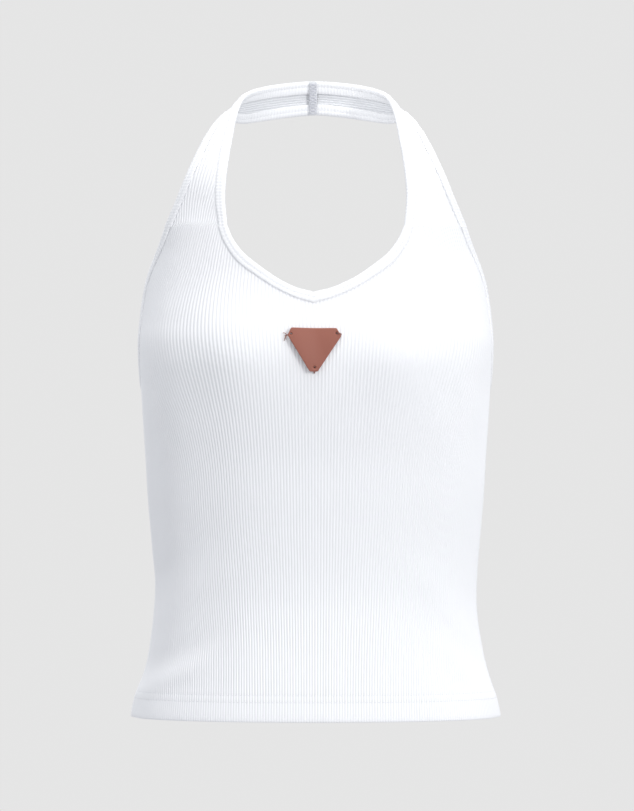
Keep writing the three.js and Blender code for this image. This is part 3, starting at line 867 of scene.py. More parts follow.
def panel_rows(high, step):
    """Heights of rows: close at the hem's stitching, even above it."""
    near_hem = [HEM + 1.3, HEM + 4, HEM + 8, HEM + 12, HEM + 14.4]
    stitching = list(np.arange(HEM + 15.3, HEM + 24.5, 0.9))
    return near_hem + stitching + body_heights(HEM + 26.5, high, step)


def close_panel(piece, outer, inner):
    """Joins the rows of a wall and closes it along its hem and its last row."""
    for a, b in zip(outer[:-1], outer[1:]):
        piece.face(zipped(a["ribs"], a["start"], b["ribs"], b["start"]))
    for a, b in zip(inner[:-1], inner[1:]):
        piece.face(zipped(b["ribs"], b["start"], a["ribs"], a["start"]), 1)
    first, last = outer[0], outer[-1]
    piece.face(zipped(inner[0]["ribs"], inner[0]["start"], first["ribs"], first["start"]), 1)
    piece.face(zipped(last["ribs"], last["start"], inner[-1]["ribs"], inner[-1]["start"]))


def build_front():
    piece, lay, outside, inside, outer, thick = build_panel(front_row)
    cloth = bpy.context.scene.halter_cloth
    step = cloth.row_step / MM
    lower = panel_rows(BACK_TOP["side"], step)
    arm = body_heights(BACK_TOP["side"], V_POINT, step)[1:]
    chest = body_heights(V_POINT, STRAP_FOOT, 2.6)[1:]
    strap_places = list(np.linspace(0, STRAP_END, 84))[1:]
    for z in lower + arm + chest:
        outer.append(lay(front_row(z), RIB_STEP, outside))
    for along in strap_places:
        outer.append(lay(strap_row(along), RIB_STEP, outside))
    inner = [lay(front_row(HEM + 0.12), 2, lambda r, ribs: np.full(len(ribs), -0.8 * thick))]
    inner_heights = [HEM + 0.9, HEM + 10, HEM_TOP - 0.6, HEM_TOP + 0.6]
    inner_heights += body_heights(HEM_TOP + 8, BACK_TOP["side"], 9)
    for z in inner_heights + body_heights(BACK_TOP["side"], V_POINT, 7)[1:] + chest[1::2]:
        inner.append(lay(front_row(z), 2, inside, (1, 2.4)))
    for along in strap_places:
        inner.append(lay(strap_row(along), RIB_STEP, inside))
    close_panel(piece, outer, inner)

    def side(lines, pick, low=-np.inf):
        return [(line["row"].up, line[pick]) for line in lines if line["row"].up >= low]

    piece.face(zipped_points(side(inner, "end"), side(outer, "end")))
    edge = V_POINT - STRAP_FOOT - 1e-6
    piece.face(zipped_points(side(outer, "start", edge), side(inner, "start", edge)))
    return piece


def build_back():
    piece, lay, outside, inside, outer, thick = build_panel(back_row)
    step = bpy.context.scene.halter_cloth.row_step / MM
    for z in panel_rows(BACK_TOP["side"] - BACK_TOP["dip"] - 3, step) + [BACK_TOP["side"]]:
        outer.append(lay(back_row(z), RIB_STEP, outside))
    inner = [lay(back_row(HEM + 0.12), 2, lambda r, ribs: np.full(len(ribs), -0.8 * thick))]
    heights = [HEM + 0.9, HEM + 10, HEM_TOP - 0.6, HEM_TOP + 0.6]
    heights += body_heights(HEM_TOP + 8, BACK_TOP["side"] - BACK_TOP["dip"] - 3, 9)
    for z in heights + [BACK_TOP["side"]]:
        inner.append(lay(back_row(z), 2, inside, (1, 2.4)))
    close_panel(piece, outer, inner)

    def side(lines):
        return [(line["row"].up, line["start"]) for line in lines]

    piece.face(zipped_points(side(outer), side(inner)))
    return piece


# Bindings

def binding_cut(inner_leaf, stitch_at):
    """Cut of a folded binding: way in from the cloth's edge, lift, and rib share."""
    outer_leaf, reach = 8.0, 1.5
    edge = outer_leaf - reach
    line = [
        (edge, 0.25, 0), (edge + 0.2, 0.7, 0.2), (edge - 0.05, 1.12, 0.7),
        (edge - 0.8, 1.36, 1), (edge - 1.6, 1.42, 1), (edge - 2.5, 1.42, 1),
        (stitch_at + 0.7, 1.38, 1), (stitch_at, 1.24, 0.6), (stitch_at - 0.7, 1.38, 1),
        (stitch_at - 1.6, 1.42, 1), (0.4, 1.32, 1), (-0.4, 0.95, 1), (-1.1, 0.25, 0.9),
        (-1.38, -0.62, 0.8), (-1.1, -1.5, 0.9), (-0.4, -2.2, 1), (0.5, -2.56, 1),
        (stitch_at - 0.8, -2.7, 1), (stitch_at, -2.5, 0.6), (stitch_at + 0.8, -2.72, 1),
        (inner_leaf - reach - 2.6, -2.75, 1), (inner_leaf - reach - 1, -2.7, 1),
        (inner_leaf - reach, -2.3, 0.4), (inner_leaf - reach - 0.1, -1.8, 0),
        (stitch_at, -1.68, 0), (0.2, -1.66, 0), (-0.45, -1.2, 0), (-0.5, -0.6, 0),
        (-0.4, 0.1, 0), (0.3, 0.42, 0), (edge - 2, 0.42, 0),
    ]
    return np.array(line)


def cut_normals(cut):
    """Outward direction at each corner of a binding's cut."""
    flat = cut[:, :2]
    run = np.roll(flat, -1, axis=0) - np.roll(flat, 1, axis=0)
    out = np.stack([run[:, 1], -run[:, 0]], axis=1)
    out /= np.linalg.norm(out, axis=1)[:, None]
    area = np.sum(flat[:, 0] * np.roll(flat[:, 1], -1) - np.roll(flat[:, 0], -1) * flat[:, 1])
    return out if area > 0 else -out


class EdgePath:
    """Places along a bound edge: strap part first, then body part to the centre."""

    def __init__(self, line, neck):
        self.neck = neck
        line = np.array(line)
        points = on_body(line[:, 0], line[:, 1], np.zeros(len(line)))
        steps = np.linalg.norm(np.diff(points, axis=0), axis=1)
        self.far = np.concatenate([[0], np.cumsum(steps)])
        self.line = line
        run = np.gradient(line, self.far, axis=0)
        run /= np.linalg.norm(run, axis=1)[:, None]
        turn = -1 if neck else 1
        self.into = turn * np.stack([run[:, 1], -run[:, 0]], axis=1)
        level = np.array([-turn, 0.0])
        blend = smoothstep(self.far, 0, 14)[:, None]
        self.into = level * (1 - blend) + self.into * blend
        self.into /= np.linalg.norm(self.into, axis=1)[:, None]
        shear = -self.into[-1, 0] / run[-1, 0] if abs(run[-1, 0]) > 0.1 else 0.0
        end = smoothstep(self.far, self.far[-1] - 16, self.far[-1])
        self.into += run * (shear * end)[:, None]
        alongs = np.linspace(0, STRAP_END, 400)
        width = strap_width(alongs)
        edge = on_strap(np.zeros(400) if neck else width, alongs, np.zeros(400))
        steps = np.linalg.norm(np.diff(edge, axis=0), axis=1)
        self.strap_far = np.concatenate([[0], np.cumsum(steps)])
        self.alongs = alongs
        self.total = self.strap_far[-1] + self.far[-1]

    def points(self, distance, into, lift):
        """Points at distances from the nape, with ways in and lifts, all same shape."""
        distance, into, lift = np.broadcast_arrays(distance, into, lift)
        on_the_strap = distance < self.strap_far[-1]
        along = np.interp(self.strap_far[-1] - distance, self.strap_far, self.alongs)
        width = strap_width(along)
        across = into if self.neck else width - into
        from_strap = on_strap(across, along, lift)
        rest = np.maximum(distance - self.strap_far[-1], 0)
        place = [np.interp(rest, self.far, self.line[:, k]) for k in (0, 1)]
        ahead = [np.interp(rest, self.far, self.into[:, k]) for k in (0, 1)]
        z = place[1] + ahead[1] * into
        if self.neck:
            way = place[0] + ahead[0] * into - body.length(z)
            at_end = np.abs(place[0]) + np.abs(ahead[0] * into) < 1e-9
            way = np.where(at_end, -body.length(z), way)
        else:
            way = place[0] + ahead[0] * into
            at_end = rest >= self.far[-1] - 1e-9
            way = np.where(at_end, body.length(z, True), way)
        from_body = on_body(way, z, lift)
        return np.where(on_the_strap[..., None], from_strap, from_body)


def neck_path():
    heights = np.linspace(STRAP_FOOT, V_POINT + 0.02, 160)
    line = [(neck_way(z), z) for z in heights] + [(0.0, V_POINT)]
    return EdgePath(line, True)


def arm_path():
    heights = np.linspace(STRAP_FOOT, BACK_TOP["side"], 150)
    front = [(-float(ARM("inset", z)), z) for z in heights]
    length = float(body.length(back_top(200.0), True))
    ways = np.linspace(0.4, length, 200)
    line = np.array(front + [(way, float(back_top(way))) for way in ways])
    for _ in range(60):
        line[1:-1] = (line[:-2] + 2 * line[1:-1] + line[2:]) / 4
    return EdgePath(line, False)


def build_binding(path, cut):
    """Folded band along an edge, ribbed across its width, open at the nape's seam."""
    sewing = bpy.context.scene.halter_sewing
    pitch, height = sewing.band_pitch / MM, sewing.band_rib / MM
    piece = Cloth()
    count = int(round(path.total / pitch)) * 4
    distances = np.linspace(0, path.total, count + 1)
    phase = distances / path.total * (count / 4)
    out = cut_normals(cut)
    rib = height * rib_shape(phase)[:, None] * cut[None, :, 2]
    mitre = np.exp(-((path.total - distances) / 0.7) ** 2)[:, None] * cut[None, :, 2]
    into = cut[None, :, 0] + out[None, :, 0] * (rib - 0.45 * mitre)
    lift = cut[None, :, 1] + out[None, :, 1] * (rib - 0.45 * mitre)
    far = np.broadcast_to(distances[:, None], into.shape)
    points = path.points(far, into, lift)
    points[-1, :, 0] = 0.0
    size = len(cut)
    girth = np.concatenate([[0], np.cumsum(np.linalg.norm(np.diff(cut[:, :2], axis=0), axis=1))])
    across = np.broadcast_to(phase[:, None], into.shape).ravel()
    up = np.broadcast_to(girth[None, :], into.shape).ravel()
    start = piece.add(points.reshape(-1, 3), across, up)
    i = np.arange(count)[:, None] * size + start
    k = np.arange(size)[None, :]
    nxt = (k + 1) % size
    a, b, c, d = i + k, i + nxt, i + size + nxt, i + size + k
    for corners in ((a, b, c), (a, c, d)):
        piece.face(np.stack([corner.ravel() for corner in corners], 1).tolist())
    flat = [Vector((x, y)) for x, y in cut[:, :2]]
    cap = geometry.tessellate_polygon([[v.to_3d() for v in flat]])
    piece.face([[start + q for q in reversed(tri)] for tri in cap])
    return piece


# Sewing

def polyline(name, points, closed=False):
    """Guide of edges for the thread trees."""
    mesh = bpy.data.meshes.new(name)
    edges = [(i, i + 1) for i in range(len(points) - 1)]
    if closed:
        edges.append((len(points) - 1, 0))
    mesh.from_pydata(to_frame(draped(points)).tolist(), edges, [])
    made = bpy.data.objects.new(name, mesh)
    bpy.context.scene.collection.objects.link(made)
    return made


class Tree:
    """Geometry node group with named inputs."""

    def __init__(self, name, inputs):
        self.group = bpy.data.node_groups.new(name, "GeometryNodeTree")
        face = self.group.interface
        face.new_socket("Geometry", in_out="INPUT", socket_type="NodeSocketGeometry")
        self.sockets = {}
        for label, kind, value in inputs:
            socket = face.new_socket(label, in_out="INPUT", socket_type=kind)
            if value is not None:
                socket.default_value = value
            self.sockets[label] = socket.identifier
        face.new_socket("Geometry", in_out="OUTPUT", socket_type="NodeSocketGeometry")
        self.entry = self.group.nodes.new("NodeGroupInput")
        self.exit = self.group.nodes.new("NodeGroupOutput")

    def node(self, kind, settings=None, **feeds):
        made = self.group.nodes.new(kind)
        for name, value in (settings or {}).items():
            setattr(made, name, value)
        for name, value in feeds.items():
            socket = made.inputs[name.replace("_", " ")]
            if isinstance(value, bpy.types.NodeSocket):
                self.group.links.new(value, socket)
            else:
                socket.default_value = value
        return made

    def end(self, geometry_socket):
        real = self.node("GeometryNodeRealizeInstances", Geometry=geometry_socket)
        dyed = self.node("GeometryNodeSetMaterial", Geometry=real.outputs[0],
                         Material=self.entry.outputs["Material"])
        self.group.links.new(dyed.outputs[0], self.exit.inputs[0])


def stitch_tree():
    """Short stitches laid end to end along a guide."""
    tree = Tree("sewn_stitches", [
        ("Stitch Length", "NodeSocketFloat", 0.0025), ("Stitch Gap", "NodeSocketFloat", 0.0006),
        ("Thread Thickness", "NodeSocketFloat", 0.0005), ("Material", "NodeSocketMaterial", None)])
    given = tree.entry.outputs
    curve = tree.node("GeometryNodeMeshToCurve", Mesh=given["Geometry"])
    total = tree.node("ShaderNodeMath", {"operation": "ADD"})
    tree.group.links.new(given["Stitch Length"], total.inputs[0])
    tree.group.links.new(given["Stitch Gap"], total.inputs[1])
    places = tree.node("GeometryNodeCurveToPoints", {"mode": "LENGTH"},
                       Curve=curve.outputs[0], Length=total.outputs[0])
    turn = tree.node("FunctionNodeAlignRotationToVector", {"axis": "Z"},
                     Vector=places.outputs["Tangent"])
    half_length = tree.node("ShaderNodeMath", {"operation": "MULTIPLY"})
    tree.group.links.new(given["Stitch Length"], half_length.inputs[0])
    half_length.inputs[1].default_value = 0.5
    half_thick = tree.node("ShaderNodeMath", {"operation": "MULTIPLY"})
    tree.group.links.new(given["Thread Thickness"], half_thick.inputs[0])
    half_thick.inputs[1].default_value = 0.5
    size = tree.node("ShaderNodeCombineXYZ", X=half_thick.outputs[0], Y=half_thick.outputs[0],
                     Z=half_length.outputs[0])
    bead = tree.node("GeometryNodeMeshUVSphere", Segments=8, Rings=6, Radius=1.0)
    laid = tree.node("GeometryNodeInstanceOnPoints", Points=places.outputs["Points"],
                     Instance=bead.outputs["Mesh"], Rotation=turn.outputs[0], Scale=size.outputs[0])
    soft = tree.node("GeometryNodeSetShadeSmooth", Geometry=laid.outputs[0])
    tree.end(soft.outputs[0])
    return tree


def thread_tree():
    """Continuous round thread along a guide."""
    tree = Tree("laid_thread", [
        ("Thread Thickness", "NodeSocketFloat", 0.0005), ("Step", "NodeSocketFloat", 0.0003),
        ("Material", "NodeSocketMaterial", None)])
    given = tree.entry.outputs
    curve = tree.node("GeometryNodeMeshToCurve", Mesh=given["Geometry"])
    kind = tree.node("GeometryNodeCurveSplineType", {"spline_type": "CATMULL_ROM"},
                     Curve=curve.outputs[0])
    even = tree.node("GeometryNodeResampleCurve", {"mode": "LENGTH"},
                     Curve=kind.outputs[0], Length=given["Step"])
    half = tree.node("ShaderNodeMath", {"operation": "MULTIPLY"})
    tree.group.links.new(given["Thread Thickness"], half.inputs[0])
    half.inputs[1].default_value = 0.5
    ring = tree.node("GeometryNodeCurvePrimitiveCircle", Resolution=6, Radius=half.outputs[0])
    tube = tree.node("GeometryNodeCurveToMesh", Curve=even.outputs[0],
                     Profile_Curve=ring.outputs["Curve"], Fill_Caps=True)
    soft = tree.node("GeometryNodeSetShadeSmooth", Geometry=tube.outputs[0])
    tree.end(soft.outputs[0])
    return tree


def grown(name, guides, tree, values):
    """Runs a tree on guides and joins the results into one plain mesh object."""
    made = []
    for guide in guides:
        changed = guide.modifiers.new(tree.group.name, "NODES")
        changed.node_group = tree.group
        for label, value in values.items():
            changed[tree.sockets[label]] = value
        bpy.context.view_layer.update()
        solid = guide.evaluated_get(bpy.context.evaluated_depsgraph_get())
        mesh = bpy.data.meshes.new_from_object(solid)
        guide.modifiers.remove(changed)
        bpy.data.objects.remove(guide)
        made.append(mesh)
    points, faces, start = [], [], 0
    for mesh in made:
        points.extend([list(v.co) for v in mesh.vertices])
        faces.extend([[start + i for i in p.vertices] for p in mesh.polygons])
        start += len(mesh.vertices)
    joined = bpy.data.meshes.new(name)
    joined.from_pydata(points, [], faces)
    joined.materials.append(values["Material"])
    joined.polygons.foreach_set("use_smooth", np.ones(len(joined.polygons), dtype=bool))
    joined.update()
    result = bpy.data.objects.new(name, joined)
    bpy.context.scene.collection.objects.link(result)
    return result


def mirrored(points):
    return np.asarray(points) * (-1, 1, 1)


def band_guides(path, stitch_at, lift):
    distances = np.linspace(0.6, path.total - 0.4, 700)
    points = path.points(distances, np.full(700, stitch_at), np.full(700, lift))
    return [polyline("guide", points), polyline("guide", mirrored(points))]


def hem_guides(z, lift):
    guides = []
    for back in (False, True):
        length = float(body.length(z, back))
        ways = np.linspace(0, length - 0.5, 260)
        sign = 1 if back else -1
        right = on_body(sign * (length - ways), np.full(260, z), np.full(260, lift))
        points = np.concatenate([mirrored(right[:0:-1]), right])
        guides.append(polyline("guide", points))
    return guides


# Operators

class HalterCloth(bpy.types.PropertyGroup):
    """Sizes of the knit."""
    wall: FloatProperty(name="Wall", description="One layer of knit", default=0.0011, unit="LENGTH")
    rib_height: FloatProperty(
        name="Rib Height", description="How far a rib stands out", default=0.00075, unit="LENGTH")
    hem_fold: FloatProperty(
        name="Hem Fold", description="Second layer of the turned-up hem", default=0.0013, unit="LENGTH")
    row_step: FloatProperty(
        name="Row Step", description="Height between rows of corners", default=0.0036, unit="LENGTH")
    fold_strength: FloatProperty(
        name="Fold Strength", description="Share of the soft folds", default=1.0, subtype="FACTOR")


class HalterSewing(bpy.types.PropertyGroup):
    """Sizes of the bindings and stitches."""
    band_pitch: FloatProperty(
        name="Band Pitch", description="Width of a rib of the binding", default=0.0029, unit="LENGTH")
    band_rib: FloatProperty(
        name="Band Rib", description="Height of the binding's ribs", default=0.00028, unit="LENGTH")
    band_stitch: FloatProperty(
        name="Band Stitch", description="Way of the binding's stitching from the cut edge",
        default=0.0030, unit="LENGTH")
    hem_lower: FloatProperty(
        name="Hem Lower Row", description="Lower hem stitching above the hem",
        default=0.0165, unit="LENGTH")
    hem_upper: FloatProperty(
        name="Hem Upper Row", description="Upper hem stitching above the hem",
        default=0.0222, unit="LENGTH")
    thread: FloatProperty(
        name="Thread", description="Thickness of the sewing thread", default=0.00038, unit="LENGTH")


class HalterBadge(bpy.types.PropertyGroup):
    """Sizes of the leather badge."""
    thick: FloatProperty(name="Thickness", description="Leather thickness",
    default=0.0021, unit="LENGTH")
    lift: FloatProperty(name="Lift", description="Way off the knit", default=0.0009, unit="LENGTH")
    rounding: FloatProperty(
        name="Rounding", description="Rounding of the leather's edge", default=0.0006, unit="LENGTH")
    hole: FloatProperty(name="Hole", description="Radius of a sewing hole",
    default=0.0008, unit="LENGTH")


class HalterColours(bpy.types.PropertyGroup):
    """Colours of the pieces."""
    cloth: FloatVectorProperty(
        name="Cloth", description="White knit", default=(0.90, 0.905, 0.92), subtype="COLOR")
    cloth_shade: FloatVectorProperty(
        name="Cloth Shade", description="Slightly duller knit",
        default=(0.87, 0.878, 0.897), subtype="COLOR")
    # Groove is painted shade: the bluish grey laid between the knit's ribs and stitch courses.
    groove: FloatVectorProperty(
        name="Groove", description="Knit between its ribs",
        default=(0.50, 0.515, 0.555), subtype="COLOR")
    thread: FloatVectorProperty(
        name="Thread", description="White sewing thread", default=(0.86, 0.865, 0.88), subtype="COLOR")
    thread_shade: FloatVectorProperty(
        name="Thread Shade", description="Shaded sewing thread",
        default=(0.66, 0.67, 0.70), subtype="COLOR")
    overlock: FloatVectorProperty(
        name="Overlock", description="Lilac grey overlock thread",
        default=(0.74, 0.74, 0.81), subtype="COLOR")
    leather: FloatVectorProperty(
        name="Leather", description="Reddish brown leather",
        default=(0.225, 0.052, 0.034), subtype="COLOR")
    leather_light: FloatVectorProperty(
        name="Leather Light", description="Lighter leather",
        default=(0.285, 0.078, 0.055), subtype="COLOR")
    # Dark leather tone laid towards the badge's rim and in its darker mottle and grain.
    leather_edge: FloatVectorProperty(
        name="Leather Edge", description="Burnished leather edge",
        default=(0.13, 0.040, 0.032), subtype="COLOR")
    badge_thread: FloatVectorProperty(
        name="Badge Thread", description="Pinkish brown thread",
        default=(0.50, 0.24, 0.19), subtype="COLOR")
    fill: FloatVectorProperty(
        name="Fill", description="Cool light from all round",
        default=(0.93, 0.955, 1.0), subtype="COLOR")
    backdrop: FloatVectorProperty(
        name="Backdrop", description="Pale grey of the studio",
        default=(0.787, 0.787, 0.787), subtype="COLOR")


def made_material(name, maker):
    found = bpy.data.materials.get(name)
    return found if found else maker(name)


# The third number given to knit_material is its share of painted groove shade.
def knit_outside():
    colours = bpy.context.scene.halter_colours
    return made_material("rib_knit", lambda name: knit_material(name, 0.00008, 0.9, colours))


def knit_inside():
    colours = bpy.context.scene.halter_colours
    return made_material("rib_knit_inside", lambda name: knit_material(name, 0.0002, 0.4, colours))


def band_knit():
    colours = bpy.context.scene.halter_colours
    return made_material("binding_knit", lambda name: knit_material(name, 0.00006, 0.45, colours))


def white_thread():
    colours = bpy.context.scene.halter_colours
    return made_material(
        "white_thread", lambda name: thread_material(name, colours.thread, colours.thread_shade))


class HALTER_OT_front(bpy.types.Operator):
    """Knit front panel with its two halter straps"""
    bl_idname = "halter.front_panel"
    bl_label = "Front Panel"

    def execute(self, context):
        piece = build_front().object("front_cloth", [knit_outside(), knit_inside()])
        ride(piece, "rib_knit", "front_panel")
        return {"FINISHED"}


class HALTER_OT_back(bpy.types.Operator):
    """Low knit back panel"""
    bl_idname = "halter.back_panel"
    bl_label = "Back Panel"

    def execute(self, context):
        piece = build_back().object("back_cloth", [knit_outside(), knit_inside()])
        ride(piece, "rib_knit", "back_panel")
        return {"FINISHED"}


class HALTER_OT_bindings(bpy.types.Operator):
    """Folded bindings of the neckline and of the armholes and back"""
    bl_idname = "halter.bindings"
    bl_label = "Bindings"

    def execute(self, context):
        stitch = context.scene.halter_sewing.band_stitch / MM
        for name, path, leaf, node, flat in (
            ("neck_band", neck_path(), 11.0, "neck_binding", (0.021, 0.66)),
            ("arm_band", arm_path(), 9.5, "armhole_binding", (0.020, 1.10)),
        ):
            piece = build_binding(path, binding_cut(leaf, stitch)).object(name, [band_knit()])
            ride(piece, "binding_knit", node)
        return {"FINISHED"}


class HALTER_OT_stitching(bpy.types.Operator):
    """Stitch rows of the bindings and the hem"""
    bl_idname = "halter.stitching"
    bl_label = "Stitching"

    def execute(self, context):
        sewing = context.scene.halter_sewing
        tree = stitch_tree()
        stitch = sewing.band_stitch / MM
        values = {"Stitch Length": 0.0026, "Stitch Gap": 0.0007,
                  "Thread Thickness": sewing.thread, "Material": white_thread()}
        bands = []
        for lift in BAND_STITCH_LIFTS:
            bands += band_guides(neck_path(), stitch, lift) + band_guides(arm_path(), stitch, lift)
        piece = grown("band_stitches", bands, tree, values)
        ride(piece, "seam_thread")
        hems = []
        for height in (sewing.hem_lower, sewing.hem_upper):
            hems += hem_guides(HEM + height / MM, HEM_STITCH_LIFT)
        values["Stitch Length"] = 0.0030
        piece = grown("hem_stitches", hems, tree, values)
        ride(piece, "seam_thread")
        return {"FINISHED"}


class HALTER_OT_neck_seam(bpy.types.Operator):
    """Overlocked seam allowance inside the strap at the nape"""
    bl_idname = "halter.neck_seam"
    bl_label = "Neck Seam"

    def execute(self, context):
        colours = context.scene.halter_colours
        low, high = (np.array(corner) / MM + (0, NAPE_Y, 0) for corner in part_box("neck_seam"))
        ys = (low[1], high[1])
        rows, columns = 30, 9
        grid, faces = [], []
        for j in range(rows + 1):
            for i in range(columns + 1):
                x = low[0] + (high[0] - low[0]) * i / columns
                z = low[2] + (high[2] - low[2]) * j / rows
                edge = min(i, columns - i)
                swell = 0.35 * math.sin(math.pi * i / columns) + 0.12 * math.sin(j * 2.1 + i)
                grid.append((x, ys[0] + 0.45 - swell * 0.8 - (0.2 if edge == 0 else 0), z))
        back = [(x, ys[1] - 0.1, z) for x, _, z in grid]
        points = grid + back
        size = (rows + 1) * (columns + 1)

        def at(i, j):
            return j * (columns + 1) + i

        for j in range(rows):
            for i in range(columns):
                a, b, c, d = at(i, j), at(i + 1, j), at(i + 1, j + 1), at(i, j + 1)
                faces += [[a, b, c], [a, c, d]]
                faces += [[a + size, c + size, b + size], [a + size, d + size, c + size]]
        ring = [at(i, 0) for i in range(columns)] + [at(columns, j) for j in range(rows)]
        ring += [at(i, rows) for i in range(columns, 0, -1)] + [at(0, j) for j in range(rows, 0, -1)]
        for p, q in zip(ring, ring[1:] + ring[:1]):
            faces += [[q, p, p + size], [q, p + size, q + size]]
        maps = np.array([(p[2] / 1.6, p[0]) for p in points])
        piece = mesh_object("neck_seam_cloth", points, faces, [knit_inside()], maps)
        ride(piece, "seam_thread", "neck_seam")
        tree = thread_tree()
        left, right, front = low[0] - 0.1, high[0] + 0.1, ys[0] - 0.12
        guides = []
        for phase in (0.0, 0.5):
            loop = []
            for k in range(int((high[2] - low[2] - 1.0) / LOOP["step"])):
                angle = 2 * math.pi * (k * LOOP["step"] / LOOP["period"] + phase)
                swing, bow = math.sin(angle), 0.18 * math.cos(angle)
                across = (left + right) / 2 + swing * (right - left) * 0.36
                loop.append((across, front + bow, low[2] + 0.5 + k * LOOP["step"]))
            guides.append(polyline("guide", loop))
        for k in range(int((high[2] - low[2] - LOOP["cross"]) / LOOP["cross"])):
            z = low[2] + 0.7 + k * LOOP["cross"]
            guides.append(polyline("guide", [
                (left, front + 0.55, z), (left + 0.8, front + 0.12, z + 0.2),
                (right - 0.8, front + 0.12, z + 0.5), (right, front + 0.55, z + 0.7)]))
        loops = made_material("overlock_thread", lambda name: thread_material(
            name, colours.thread_shade, colours.overlock))
        thread = grown("neck_seam_thread", guides, tree, {
            "Thread Thickness": 0.00042, "Step": 0.00045, "Material": loops})
        ride(thread, "seam_thread")
        return {"FINISHED"}


def leather_mesh(badge):
    """Flat corners and triangles of the badge with its holes, and their edge distance."""
    hole = badge.hole / MM
    outline = LEATHER_OUTLINE
    loops = [outline] + [
        [(h["at"][0] + hole * math.cos(a), h["at"][1] + hole * math.sin(a))
         for a in np.linspace(0, 2 * math.pi, 14, endpoint=False)] for h in LEATHER_HOLES]

    def refined(loop, step):
        fine = []
        for a, b in zip(loop, loop[1:] + loop[:1]):
            count = max(1, int(math.dist(a, b) / step))
            fine += [(a[0] + (b[0] - a[0]) * i / count, a[1] + (b[1] - a[1]) * i / count)
                     for i in range(count)]
        return fine

    loops = [refined(rounded(loops[0], 0.9), 0.7)] + loops[1:]
    points, edges = [], []
    for loop in loops:
        start = len(points)
        points += loop
        edges += [(start + i, start + (i + 1) % len(loop)) for i in range(len(loop))]
    bounds = loops[0]
    grid = []
    for x in np.arange(-21.6, 21.7, 0.8):
        for z in np.arange(-235.2, -199.4, 0.8):
            grid.append((x + 0.17 * math.sin(z * 3.1), z + 0.17 * math.cos(x * 2.7)))
    lines = [np.array(loop + loop[:1]) for loop in loops]
    near = np.min([distance_to(line, grid) for line in lines], axis=0)
    kept = [p for p, d in zip(grid, near) if d > 0.32 and inside_loop(p, bounds)]
    kept = [p for p in kept if all(math.dist(p, h["at"]) > hole + 0.25 for h in LEATHER_HOLES)]
    for inset in (0.15, 0.35, 0.65):
        ring = [p for p in inset_loop(bounds, inset)]
        kept = [p for p in kept if min(math.dist(p, q) for q in ring) > 0.28] + ring
    result = geometry.delaunay_2d_cdt(
        [Vector(p) for p in points + kept], edges, [], 1, 1e-5)
    flat = [(v.x, v.y) for v in result[0]]
    faces = []
    for tri in result[2]:
        middle = tuple(sum(flat[i][k] for i in tri) / 3 for k in (0, 1))
        if all(math.dist(middle, h["at"]) > hole * 0.98 for h in LEATHER_HOLES):
            faces.append(list(tri))
    distance = np.min([distance_to(line, flat) for line in lines], axis=0)
    return flat, faces, distance


def rounded(loop, radius):
    """Loop of corners with each corner cut into a short arc."""
    result = []
    count = len(loop)
    for i, corner in enumerate(loop):
        before, after = Vector(loop[i - 1]), Vector(loop[(i + 1) % count])
        here = Vector(corner)
        start = here + (before - here).normalized() * radius
        end = here + (after - here).normalized() * radius
        for t in (0, 0.33, 0.67, 1):
            place = start * (1 - t) ** 2 + here * 2 * t * (1 - t) + end * t ** 2
            result.append((place.x, place.y))
    return result


def inside_loop(place, loop):
    x, y = place
    hit = False
    for (ax, ay), (bx, by) in zip(loop, loop[1:] + loop[:1]):
        if (ay > y) != (by > y) and x < (bx - ax) * (y - ay) / (by - ay) + ax:
            hit = not hit
    return hit


def inset_loop(loop, inset):
    """Loop moved in towards its inside by a small step."""
    centre = Vector((sum(p[0] for p in loop) / len(loop), sum(p[1] for p in loop) / len(loop)))
    result = []
    for i, corner in enumerate(loop):
        run = Vector(loop[(i + 1) % len(loop)]) - Vector(loop[i - 1])
        out = Vector((run.y, -run.x)).normalized()
        if out.dot(Vector(corner) - centre) > 0:
            out = -out
        place = Vector(corner) + out * inset
        result.append((place.x, place.y))
    return result


